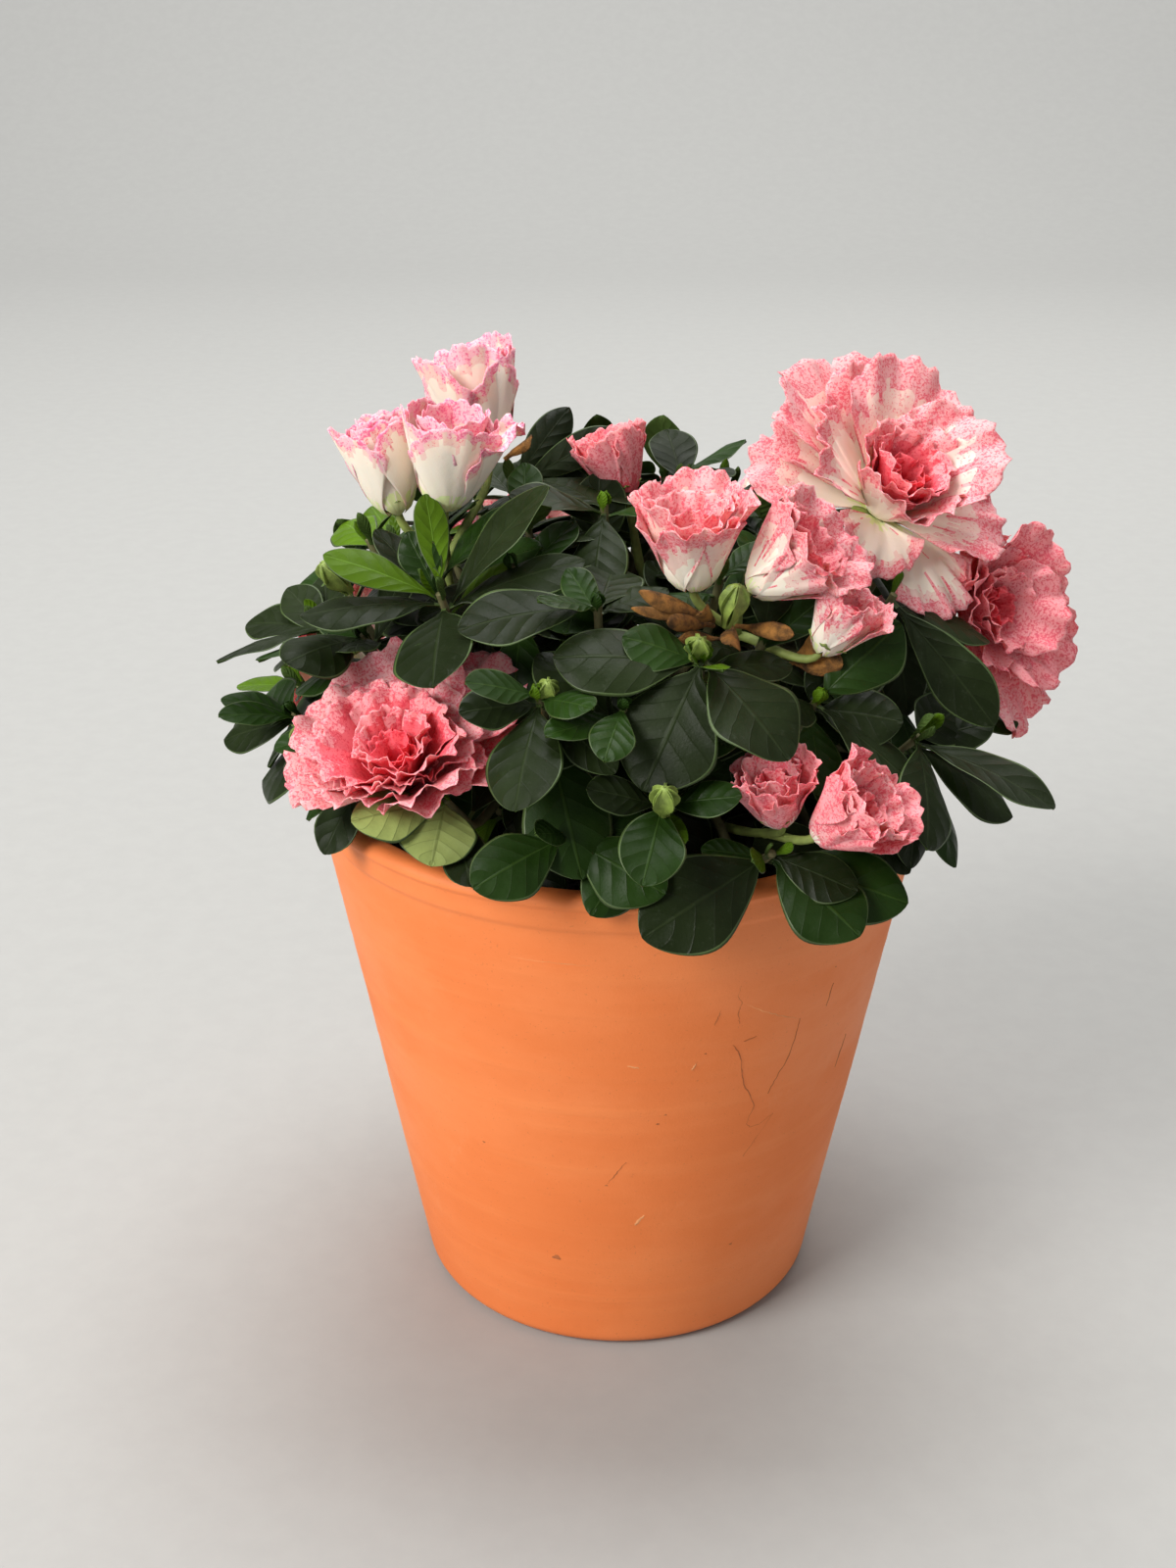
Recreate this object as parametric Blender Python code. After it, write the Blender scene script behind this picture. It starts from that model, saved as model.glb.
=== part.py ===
# A small azalea shrub in a terracotta pot.
#
# Metres, +Z up. The origin is the middle of the pot's flat underside, and -Y is the front of the plant.
# A bearing goes round the pot: 0 is the front (-Y), 90 is +X. The plant's tables are in millimetres.
#
# The pot holds a root ball, and a short stem stands on that. Boughs leave the stem 0.3 mm clear and each ends
# where a mass of foliage begins. A mass is one stem that forks into shoots, each with a whorl of leaves at its
# tip. The shoots that shape the front are placed by hand; the others follow a golden-angle spiral over the
# crown's dome. A flower truss is one stem that forks into blooms. A leaf that would touch anything but its own
# twig is turned to another bearing and made a little shorter, and left out if it still touches.

import math
import random

import bmesh
import bpy
from mathutils import Vector
from mathutils.bvhtree import BVHTree

MM = 0.001
GAP = 0.0003                 # between solids that meet
CLEARANCE = 0.0004           # round a leaf, a twig or a limb
SEED = 7
GOLDEN_ANGLE = 137.508

# Pot
POT_HEIGHT = 0.138
POT_TOP_R = 0.075
POT_BASE_R = 0.0503
POT_WALL = 0.0056
POT_FLOOR = 0.0068
BASE_ROUNDING = 0.0034
COLLAR_HEIGHT = 0.0090       # raised band under the lip
COLLAR_STEP = 0.0004
LIP_R = 0.0026
POT_SIDES = 48

# Root ball and stem
SOIL_TOP = 0.1225
ROOT_BALL_SIDES = 24
STEM_FOOT_R = 0.0115
STEM_NECK_R = 0.0072
STEM_TOP_R = 0.0048
STEM_HEIGHT = 0.034
STEM_LEAN = Vector((0.0020, 0.0030, 0.0))
STEM_SIDES = 12
STEM_SLOPE = 0.15            # most that its side leans in, for each metre up

# Limbs
BOUGH_R = 0.0021
BOUGH_TIP_R = 0.0014
TRUSS_R = 0.0013
TRUSS_TIP_R = 0.0010
TWIG_R = 0.0013
TWIG_TIP_R = 0.0009
LIMB_SIDES = 5
TRUSS_SIDES = 4
TWIG_SIDES = 3
MASS_STEM = 0.008            # from a mass's foot to its last fork
FORK_PITCH = 0.0012          # along that stem from one twig to the next
LIMB_RISE = 25               # degrees above level where a limb leaves the stem
BOUGH_REACH = 0.46           # how far along the way to its mass a bough ends

# Crown
HEART = Vector((0.0, 0.0, 0.146))
DOME_CENTRE = Vector((0.0, 0.0, 0.150))
DOME_RADII = (0.078, 0.076, 0.056)
CROWN_RADII = (0.104, 0.100, 0.073)       # no leaf reaches further
CROWN_FLOOR = 0.1195                      # nor lower
SPIRAL_SPOTS = 400
SPIRAL_LOWEST = -0.16                     # sine of the lowest elevation on the dome
SHOOT_SPACING = 0.0235
BLOOM_SPACING = 0.019
SPIRAL_LEAVES = 5
SPIRAL_LEAF = 32
INNER_DOME = 0.64                         # a second layer of shoots, as a share of the dome

SEAM_ANGLE = 2.5                          # degrees: flatter seams than this are dissolved after a union

# Leaves: station along the blade, and half-width there as a share of the full half-width
LEAF_PROFILE = ((0.0, 0.05), (0.42, 0.82), (0.80, 0.90))
LEAF_WIDTH = 0.66                         # of its length
LEAF_THICK = 0.0009
WHORL_RUN = 0.012                         # the straight end of a twig, along which its leaves stand
WHORL_END = 0.001                         # bare tip of it
LEAF_TRIES = 8                            # each time at another bearing and a little shorter

# Masses of foliage: each row of shoots is x, y, z of its tip, leaves in the whorl, leaf length
MASSES = {
    "foliage_left_top": ((-39, -40, 192, 7, 30), (-58, -8, 196, 5, 28)),
    "foliage_left_side": ((-71, -18, 178, 6, 31), (-76, -30, 161, 6, 30)),
    "foliage_left_rim": ((-30, -68, 143, 6, 30),),
    "foliage_top": ((-26, 8, 205, 6, 30), (-3, -18, 206, 6, 31)),
    "foliage_centre": ((-7, -52, 193, 6, 32), (-18, -64, 180, 5, 25)),
    "foliage_front": ((17, -62, 187, 6, 34),),
    "foliage_front_low": ((8, -70, 160, 7, 31), (-9, -70, 148, 7, 30)),
    "foliage_right_rim": ((22, -66, 143, 7, 34),),
    "foliage_right_top": ((64, -14, 184, 7, 34),),
    "foliage_right_side": ((66, -44, 162, 7, 33), (80, -16, 160, 6, 31), (54, -54, 146, 6, 32)),
    "foliage_back_left": ((-48, 40, 190, 6, 31), (-68, 22, 172, 6, 31)),
    "foliage_back_top": ((-6, 44, 201, 6, 31), (19, 9, 207, 6, 28)),
    "foliage_back_right": ((48, 36, 190, 6, 31), (70, 24, 170, 6, 31)),
    "foliage_back_low_left": ((-44, 62, 160, 6, 31),),
    "foliage_back_low": ((4, 76, 160, 6, 31),),
    "foliage_back_low_right": ((52, 56, 160, 6, 31),),
}

# Each kind of bloom is one body turned about its axis: lobes, then rings of radius, height above the foot, how
# deep the notch between two lobes cuts in, and which whorl of petals the ring belongs to, up the outside of the
# first whorl, over its rim, down into it and on to the next, and last the depth of the middle
BLOOM_KINDS = {
    "cup": (5, ((1.3, 0, 0, 0), (7.2, 8, 0.03, 0), (12.2, 25, 0.24, 0), (10.8, 25, 0.24, 0), (6.8, 13, 0.05, 0)), 8),
    "ruffled": (5, ((1.3, 0, 0, 0), (6.8, 8, 0, 0), (15, 20.5, 0.22, 0), (13.6, 21.6, 0.22, 0), (7, 13, 0, 0),
                    (9.2, 21.5, 0.18, 1), (7.4, 22, 0.18, 1)), 12),
    "open": (6, ((1.4, 0, 0, 0), (6, 6, 0.04, 0), (30, 10.5, 0.26, 0), (29, 12.4, 0.26, 0), (11, 10, 0.04, 0),
                 (19, 18.5, 0.22, 1), (17.5, 20, 0.22, 1), (7, 13, 0, 1)), 15),
    "double": (5, ((1.4, 0, 0, 0), (6, 5, 0.04, 0), (28.5, 12, 0.18, 0), (27.5, 13.8, 0.18, 0), (12, 11, 0, 0),
                   (19.5, 19.5, 0.18, 1), (17.5, 20.8, 0.18, 1), (9, 15, 0.1, 1)), 19),
}
STEPS_A_LOBE = 3
BLOOM_MIDDLE = 0.010                      # from a bloom's foot to its middle
STALK_SUNK = 0.0030                       # how far a stalk runs into its bloom

# Flower trusses: where the stem forks, then each bloom's kind, foot x, y, z, bearing, rise and scale
TRUSSES = {
    "blossom_left_top": ((-40, -10, 190), (
        ("cup", -50, -16, 203, -110, 74, 0.92),
        ("cup", -39, -22, 206, 60, 80, 1.00),
        ("cup", -31, 4, 210, -120, 76, 1.08))),
    "blossom_top": ((4, 1, 188), (("ruffled", 1, 0, 203, -110, 70, 0.76),)),
    "blossom_centre": ((25, -38, 184), (
        ("ruffled", 15, -46, 196, -20, 82, 0.96),
        ("ruffled", 30, -46, 197, 80, 40, 0.96),
        ("cup", 43, -46, 185, 100, 48, 0.66))),
    "blossom_right_top": ((58, 0, 186), (("open", 59, -5, 202, 20, 50, 1.00),)),
    "blossom_right_side": ((70, 6, 172), (("double", 80, 1, 177, 48, 14, 0.90),)),
    "blossom_right_rim": ((32, -58, 146), (
        ("cup", 35, -66, 152, -40, 74, 0.70),
        ("ruffled", 40, -70, 151, 72, 40, 0.86))),
    "blossom_left_low": ((-34, -40, 150), (("double", -46, -55, 158, -25, 70, 1.00),)),
    "blossom_back_left": ((-28, 58, 157), (("double", -30, 64, 160, -166, 20, 0.86),)),
    "blossom_back_right": ((24, 54, 158), (
        ("ruffled", 17, 63, 166, -172, 40, 1.05),
        ("cup", 33, 60, 166, 150, 44, 0.95))),
    "blossom_back_low": ((-60, 36, 146), (("open", -67, 38, 146, -118, 14, 0.80),)),
    "blossom_back_side": ((56, 36, 152), (("double", 61, 44, 154, 130, 18, 0.82),)),
}

# Colour, roughness and metallic value of each kind of sub-part
MATERIALS = {
    "terracotta": ((0.80, 0.27, 0.075), 0.62, 0.0),
    "peat": ((0.035, 0.022, 0.014), 0.95, 0.0),
    "bark": ((0.16, 0.10, 0.055), 0.80, 0.0),
    "leaf": ((0.026, 0.085, 0.024), 0.45, 0.0),
    "petal": ((0.86, 0.36, 0.36), 0.55, 0.0),
}


def bearing_vector(bearing, rise=0.0):
    """Unit vector at a bearing round the pot and a rise above level, both in degrees."""
    b, r = math.radians(bearing), math.radians(rise)
    return Vector((math.sin(b) * math.cos(r), -math.cos(b) * math.cos(r), math.sin(r)))


def millimetres(x, y, z):
    return Vector((x, y, z)) * MM


def material(kind):
    found = bpy.data.materials.get(kind)
    if found:
        return found
    colour, roughness, metallic = MATERIALS[kind]
    made = bpy.data.materials.new(kind)
    made.use_nodes = True
    shader = made.node_tree.nodes["Principled BSDF"]
    shader.inputs["Base Color"].default_value = (*colour, 1.0)
    shader.inputs["Roughness"].default_value = roughness
    shader.inputs["Metallic"].default_value = metallic
    made.diffuse_color = (*colour, 1.0)
    return made


class Solid:
    """One closed shape: its corners, its faces, and a tree to test it against others."""

    def __init__(self, corners, faces):
        self.corners = corners
        self.faces = faces
        self.low = Vector(map(min, zip(*corners)))
        self.high = Vector(map(max, zip(*corners)))
        self.tree = BVHTree.FromPolygons(corners, faces)

    def touches(self, other):
        if any(self.low[i] > other.high[i] or other.low[i] > self.high[i] for i in range(3)):
            return False
        return bool(self.tree.overlap(other.tree))

    def mesh(self, name):
        made = bpy.data.meshes.new(name)
        made.from_pydata(self.corners, [], self.faces)
        return made


def place(name, mesh, kind, smooth_angle=None):
    mesh.materials.clear()
    mesh.materials.append(material(kind))
    if smooth_angle is not None:
        mesh.shade_smooth()
        mesh.set_sharp_from_angle(angle=math.radians(smooth_angle))
    made = bpy.data.objects.new(name, mesh)
    bpy.context.scene.collection.objects.link(made)
    return made


def turned(profile, sides, centre=lambda z: Vector((0.0, 0.0, 0.0))):
    """Solid of revolution: the profile runs from the axis at the bottom, up the outside, to the axis again."""
    corners = [Vector((0.0, 0.0, profile[0][1])) + centre(profile[0][1])]
    for radius, z in profile[1:-1]:
        for k in range(sides):
            angle = 2 * math.pi * k / sides
            corners.append(Vector((radius * math.cos(angle), radius * math.sin(angle), z)) + centre(z))
    corners.append(Vector((0.0, 0.0, profile[-1][1])) + centre(profile[-1][1]))
    last = len(corners) - 1
    rings = len(profile) - 2
    faces = []
    for k in range(sides):
        after = (k + 1) % sides
        faces.append((0, 1 + after, 1 + k))
        for ring in range(rings - 1):
            low, high = 1 + ring * sides, 1 + (ring + 1) * sides
            faces.append((low + k, low + after, high + after))
            faces.append((low + k, high + after, high + k))
        top = 1 + (rings - 1) * sides
        faces.append((top + k, top + after, last))
    return Solid(corners, faces)


def curve_points(start, leave, end, arrive, count):
    """Points of a cubic curve that leaves the start and arrives at the end along the given directions."""
    pull = (end - start).length * 0.30
    first, second = start + leave * pull, end - arrive * pull
    points = []
    for i in range(count):
        t = i / (count - 1)
        points.append(start * (1 - t) ** 3 + first * 3 * t * (1 - t) ** 2 + second * 3 * t * t * (1 - t) + end * t ** 3)
    return points


def across(direction):
    """Two unit vectors square to a direction, the second one as near to straight up as can be."""
    side = direction.cross(Vector((0.0, 0.0, 1.0)))
    if side.length < 0.05:
        side = direction.cross(Vector((0.0, 1.0, 0.0)))
    side.normalize()
    return side, side.cross(direction).normalized()


def limb(points, start_r, end_r, sides, grow=0.0, leave=None, arrive=None):
    """Tapering tube through the points, with flat ends square to the directions it leaves and arrives in."""
    corners, faces = [], []
    count = len(points)
    side = None
    for i, point in enumerate(points):
        ahead = (points[min(i + 1, count - 1)] - points[max(i - 1, 0)]).normalized()
        if i == 0 and leave:
            ahead = leave
        if i == count - 1 and arrive:
            ahead = arrive
        if side is None:
            side = across(ahead)[0]
        side = (side - ahead * side.dot(ahead)).normalized()
        up = side.cross(ahead)
        radius = start_r + (end_r - start_r) * i / (count - 1) + grow
        for k in range(sides):
            angle = 2 * math.pi * k / sides
            corners.append(point + side * radius * math.cos(angle) + up * radius * math.sin(angle))
    for ring in range(count - 1):
        low, high = ring * sides, (ring + 1) * sides
        for k in range(sides):
            after = (k + 1) % sides
            faces.append((low + k, high + after, low + after))
            faces.append((low + k, high + k, high + after))
    faces.append(tuple(range(sides)))
    faces.append(tuple(reversed(range((count - 1) * sides, count * sides))))
    return Solid(corners, faces)


def blade(root, ahead, face, length, width, thick, bend, cup, profile, grow=0.0):
    """Leaf: a thin ridged solid whose upper side looks along face, and whose tip bends away from it."""
    side = ahead.cross(face).normalized()
    face = side.cross(ahead).normalized()
    turn = math.radians(bend) or 1e-4

    def station(s):
        angle = turn * s
        middle = root + ahead * length * math.sin(angle) / turn - face * length * (1 - math.cos(angle)) / turn
        return middle, face * math.cos(angle) + ahead * math.sin(angle)

    corners, faces = [], []
    for s, share in profile:
        middle, up = station(s)
        half = width * share / 2 + grow
        edge = up * (cup * half - grow)
        corners += [middle + side * half + edge, middle + up * (thick + grow), middle - side * half + edge]
    tip, _ = station(1.0 + grow / length)
    corners.append(tip)
    last = len(corners) - 1
    end = (len(profile) - 1) * 3
    for k in range(3):
        after = (k + 1) % 3
        for low in range(0, end, 3):
            faces.append((low + k, low + 3 + after, low + after))
            faces.append((low + k, low + 3 + k, low + 3 + after))
        faces.append((end + k, last, end + after))
    faces.append((0, 1, 2))
    return Solid(corners, faces)


def shells(mesh):
    """The mesh's groups of faces that meet along edges, largest first."""
    group = list(range(len(mesh.polygons)))

    def root_of(f):
        while group[f] != f:
            group[f] = group[group[f]]
            f = group[f]
        return f

    first = {}
    for face in mesh.polygons:
        for key in face.edge_keys:
            a, b = root_of(first.setdefault(key, face.index)), root_of(face.index)
            group[a] = b
    found = {}
    for face in mesh.polygons:
        found.setdefault(root_of(face.index), []).append(face.index)
    return sorted(found.values(), key=len, reverse=True)


def fused(name, solids, kind):
    """One closed body from solids that overlap. Scraps that hang on nothing and sealed hollows are dropped."""
    folder = bpy.data.collections.new(name + "_parts")
    members = []
    for n, solid in enumerate(solids[1:]):
        member = bpy.data.objects.new(f"{name}_part_{n}", solid.mesh("part"))
        folder.objects.link(member)
        members.append(member)
    base = place(name, solids[0].mesh(name), kind)
    union = base.modifiers.new("union", "BOOLEAN")
    union.operation = "UNION"
    union.operand_type = "COLLECTION"
    union.collection = folder
    for solver in ("EXACT", "MANIFOLD"):
        union.solver = solver
        depsgraph = bpy.context.evaluated_depsgraph_get()
        depsgraph.update()
        result = bpy.data.meshes.new_from_object(base.evaluated_get(depsgraph), depsgraph=depsgraph)
        keep = shells(result)[0]
        whole = bpy.data.meshes.new(name)
        whole.from_pydata([v.co for v in result.vertices], [], [result.polygons[f].vertices[:] for f in keep])
        closed = is_closed(whole)
        if closed:
            break
    print(f"{name}: {len(solids)} solids fused by {solver}, closed {closed}")
    base.modifiers.clear()
    for member in members:
        bpy.data.objects.remove(member)
    bpy.data.collections.remove(folder)
    whole = triangulated(whole)
    whole.materials.append(material(kind))
    base.data = whole
    return base


def is_closed(mesh):
    uses = {}
    for face in mesh.polygons:
        for key in face.edge_keys:
            uses[key] = uses.get(key, 0) + 1
    return all(count == 2 for count in uses.values())


def triangulated(mesh):
    """The mesh in triangles, with its nearly flat seams dissolved where that leaves it closed."""
    for seam in (SEAM_ANGLE, 0.0):
        shape = bmesh.new()
        shape.from_mesh(mesh)
        if seam:
            bmesh.ops.dissolve_limit(shape, angle_limit=math.radians(seam), verts=shape.verts, edges=shape.edges)
        bmesh.ops.delete(shape, geom=[v for v in shape.verts if not v.link_faces], context="VERTS")
        bmesh.ops.triangulate(shape, faces=shape.faces)
        made = bpy.data.meshes.new(mesh.name)
        shape.to_mesh(made)
        shape.free()
        if is_closed(made) and len(shells(made)) == 1:
            break
        print(f"{mesh.name}: seams kept")
    return made


def pot_outer_r(z):
    return POT_BASE_R + (POT_TOP_R - COLLAR_STEP - POT_BASE_R) * z / POT_HEIGHT


def pot_inner_r(z):
    return pot_outer_r(z) - POT_WALL


def pot():
    profile = [(0.0, 0.0)]
    for angle in (0.0, math.pi / 4, math.pi / 2):
        z = BASE_ROUNDING * (1 - math.cos(angle))
        profile.append((pot_outer_r(z) - BASE_ROUNDING * (1 - math.sin(angle)), z))
    collar = POT_HEIGHT - COLLAR_HEIGHT
    profile.append((pot_outer_r(collar), collar))
    profile.append((pot_outer_r(collar) + COLLAR_STEP, collar + 2 * COLLAR_STEP))
    lip = POT_HEIGHT - LIP_R
    for angle in (0.0, math.pi / 4, math.pi / 2):
        profile.append((POT_TOP_R - LIP_R * (1 - math.cos(angle)), lip + LIP_R * math.sin(angle)))
    inner_lip = pot_inner_r(lip) + LIP_R
    for angle in (math.pi / 4, 0.0):
        profile.append((inner_lip - LIP_R * math.cos(angle), lip + LIP_R * math.sin(angle)))
    profile.append((pot_inner_r(POT_FLOOR), POT_FLOOR))
    profile.append((0.0, POT_FLOOR))
    solid = turned(profile, POT_SIDES)
    place("pot", solid.mesh("pot"), "terracotta", 35)
    return solid


def root_ball():
    """Peat that fills the pot, level in the middle where the stem stands and sunk a little at the wall."""
    flat = math.cos(math.pi / POT_SIDES)

    def wall(z):
        return pot_inner_r(z) * flat - GAP

    low = POT_FLOOR + GAP
    edge = SOIL_TOP - 0.0028
    profile = [(0.0, low), (wall(low) - 0.001, low), (wall(low + 0.001), low + 0.001), (wall(edge), edge),
               (wall(edge) * 0.72, SOIL_TOP - 0.0008), (STEM_FOOT_R * 1.3, SOIL_TOP), (0.0, SOIL_TOP)]
    solid = turned(profile, ROOT_BALL_SIDES)
    place("root_ball", solid.mesh("root_ball"), "peat", 35)
    return solid


def stem_centre(z):
    share = (z - SOIL_TOP) / STEM_HEIGHT
    return STEM_LEAN * share * share


def stem_r(z):
    share = (z - SOIL_TOP - GAP) / STEM_HEIGHT
    flare = (STEM_FOOT_R - STEM_NECK_R) * math.exp(-share * 9)
    return STEM_NECK_R + (STEM_TOP_R - STEM_NECK_R) * share + flare


def stem():
    foot = SOIL_TOP + GAP
    shares = (0.0, 0.08, 0.2, 0.45, 0.75, 0.95)
    profile = [(0.0, foot)]
    profile += [(stem_r(foot + STEM_HEIGHT * s), foot + STEM_HEIGHT * s) for s in shares]
    profile += [(STEM_TOP_R * 0.6, foot + STEM_HEIGHT), (0.0, foot + STEM_HEIGHT)]
    solid = turned(profile, STEM_SIDES, stem_centre)
    place("stem", solid.mesh("stem"), "bark", 40)
    return solid


def limb_from_stem(target, arrive, start_r, end_r, sides, standing):
    """A limb from the stem to its target. It leaves the stem at the first free height and bearing."""
    level = Vector((target.x, target.y, 0.0)) - STEM_LEAN * 0.5
    bearing = math.degrees(math.atan2(level.x, -level.y))
    wish = 0.2 + 0.7 * min(max((target.z - HEART.z) / 0.05, 0.0), 1.0)
    heights = sorted((0.14 + 0.07 * n for n in range(12)), key=lambda share: abs(share - wish))
    for turn in (0, 18, -18, 36, -36, 60, -60, 90, -90):
        for share in heights:
            z = SOIL_TOP + STEM_HEIGHT * share
            leave = bearing_vector(bearing + turn, LIMB_RISE)
            off_axis = stem_r(z) + GAP + start_r * (math.sin(math.radians(LIMB_RISE)) + STEM_SLOPE)
            foot = Vector((0.0, 0.0, z)) + stem_centre(z) + bearing_vector(bearing + turn) * off_axis
            points = curve_points(foot, leave, target, arrive, 5)
            slim = limb(points, start_r, end_r, sides, 0.0, leave, arrive)
            wide = limb(points, start_r, end_r, sides, CLEARANCE, leave, arrive)
            if free(wide, standing, "stem") and free(slim, standing[:1]):
                return slim
    print(f"no free way from the stem to {tuple(round(v / MM) for v in target)}")
    return None


def spiral_shoots(taken, blooms):
    """Shoot tips on a golden-angle spiral that fill the dome, and a smaller one inside it, clear of those taken."""
    found = []
    for layer in (1.0, INNER_DOME):
        for n in range(SPIRAL_SPOTS):
            up = SPIRAL_LOWEST + (1 - SPIRAL_LOWEST) * (n + 0.5) / SPIRAL_SPOTS
            level = math.sqrt(1 - up * up) * layer
            turn = math.radians(GOLDEN_ANGLE * n)
            out = (DOME_RADII[0] * level * math.sin(turn), -DOME_RADII[1] * level * math.cos(turn), DOME_RADII[2] * up)
            spot = DOME_CENTRE + Vector(out[:2] + (out[2] * layer,))
            clear = all((spot - tip).length > SHOOT_SPACING / math.sqrt(layer) for tip in taken + found)
            if clear and all((spot - middle).length > BLOOM_SPACING for middle in blooms):
                found.append(spot)
    return found


def shoot_axis(tip):
    """The way a shoot points at its tip: out from the dome, and up."""
    out = Vector(((tip.x - DOME_CENTRE.x) / DOME_RADII[0], (tip.y - DOME_CENTRE.y) / DOME_RADII[1],
                  (tip.z - DOME_CENTRE.z) / DOME_RADII[2])).normalized()
    return (out * 0.62 + Vector((0.0, 0.0, 0.55))).normalized()


def shoot(start, leave, tip, own, standing):
    """The twig from a mass's stem to the tip of a shoot, straight where the leaves are, if the way is free."""
    axis = shoot_axis(tip)
    points = curve_points(start, leave, tip - axis * WHORL_RUN, axis, 3) + [tip]
    if not free(limb(points, TWIG_R + CLEARANCE, TWIG_TIP_R + CLEARANCE, TWIG_SIDES), standing, own):
        return None
    return limb(points, TWIG_R, TWIG_TIP_R, TWIG_SIDES)


def whorl(tip, leaves, length, twig, standing, chance):
    """Leaves in a spiral round a shoot's tip: the lowest spread and droop, the highest are shorter and stand up."""
    axis = shoot_axis(tip)
    side, up = across(axis)
    start = chance.uniform(0, 360)
    made = []
    for n in range(leaves):
        share = n / max(leaves - 1, 1)
        root = tip - axis * (WHORL_END + (WHORL_RUN - 2 * WHORL_END) * (1 - share))
        full_length = length * MM * (1.0 - 0.30 * share) * chance.uniform(0.92, 1.08)
        for attempt in range(LEAF_TRIES):
            blade_length = full_length * (1.0 - 0.04 * attempt)
            turn = math.radians(start + GOLDEN_ANGLE * n + attempt * 23)
            rise = math.radians(-8 + 46 * share + chance.uniform(-8, 8))
            level = side * math.cos(turn) + up * math.sin(turn)
            ahead = level * math.cos(rise) + axis * math.sin(rise)
            face = axis * math.cos(rise) - level * math.sin(rise)
            shape = dict(length=blade_length, width=blade_length * LEAF_WIDTH, thick=LEAF_THICK,
                         bend=chance.uniform(12, 34), cup=chance.uniform(-0.12, 0.02), profile=LEAF_PROFILE)
            wide = blade(root, ahead, face, grow=CLEARANCE, **shape)
            if in_crown(wide) and free(wide, standing, twig) and not any(wide.touches(other) for other in made):
                made.append(blade(root, ahead, face, **shape))
                break
    return made


def in_crown(solid):
    for corner in solid.corners:
        spot = corner - DOME_CENTRE
        if corner.z < CROWN_FLOOR or sum((spot[i] / CROWN_RADII[i]) ** 2 for i in range(3)) > 1:
            return False
    return True


def bloom(kind, foot, axis, scale, chance):
    """A bloom as one lobed body, turned about its axis."""
    lobes, rings, middle = BLOOM_KINDS[kind]
    side, up = across(axis)
    sides = lobes * STEPS_A_LOBE
    turn = chance.uniform(0, 2 * math.pi)
    unit = scale * MM
    corners = []
    for radius, height, notch, shift in rings:
        for k in range(sides):
            angle = turn + 2 * math.pi * k / sides
            cut = 1 - notch * ((k + shift) % STEPS_A_LOBE == 0)
            level = side * math.cos(angle) + up * math.sin(angle)
            corners.append(foot + (level * radius + axis * height) * unit * cut)
    corners += [foot - axis * unit, foot + axis * middle * unit]
    last = len(corners) - 1
    faces = []
    top = (len(rings) - 1) * sides
    for k in range(sides):
        after = (k + 1) % sides
        faces.append((last - 1, k, after))
        faces.append((top + k, last, top + after))
        for low in range(0, top, sides):
            high = low + sides
            faces.append((low + k, high + after, low + after))
            faces.append((low + k, high + k, high + after))
    return Solid(corners, faces)


def truss(name, fork, blooms, standing, chance):
    """One stem from the main stem to a fork, a stalk to each bloom, and the blooms."""
    fork = millimetres(*fork)
    feet = [millimetres(*row[1:4]) for row in blooms]
    middle = sum(feet, Vector()) / len(feet)
    rise = (middle - fork).normalized()
    stalk = limb_from_stem(fork, rise, TRUSS_R, TRUSS_TIP_R, TRUSS_SIDES, standing)
    solids = [stalk]
    for row, foot in zip(blooms, feet):
        kind, bearing, tilt, scale = row[0], row[4], row[5], row[6]
        axis = bearing_vector(bearing, tilt)
        points = curve_points(fork - rise * 0.0015, rise, foot, axis, 3)
        points.append(foot + axis * STALK_SUNK)
        solids.append(limb(points, TRUSS_TIP_R * 1.15, TWIG_TIP_R, TWIG_SIDES))
        solids.append(bloom(kind, foot, axis, scale, chance))
    for solid in solids:
        for owner, other in standing:
            if solid.touches(other):
                print(f"{name} touches {owner}")
    return solids


def bough(shoots, standing):
    """The limb that carries a mass: from the stem part of the way to the middle of its shoots."""
    middle = sum((tip for tip, _, _ in shoots), Vector()) / len(shoots)
    entry = HEART.lerp(middle, BOUGH_REACH)
    arrive = (middle - entry).normalized()
    return limb_from_stem(entry, arrive, BOUGH_R, BOUGH_TIP_R, LIMB_SIDES, standing), entry, arrive


def free(solid, standing, own=None):
    """Whether a solid touches nothing that stands, apart from its own: an owner's solids, or one solid."""
    return not any(solid.touches(other) for owner, other in standing if owner != own and other is not own)


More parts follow.
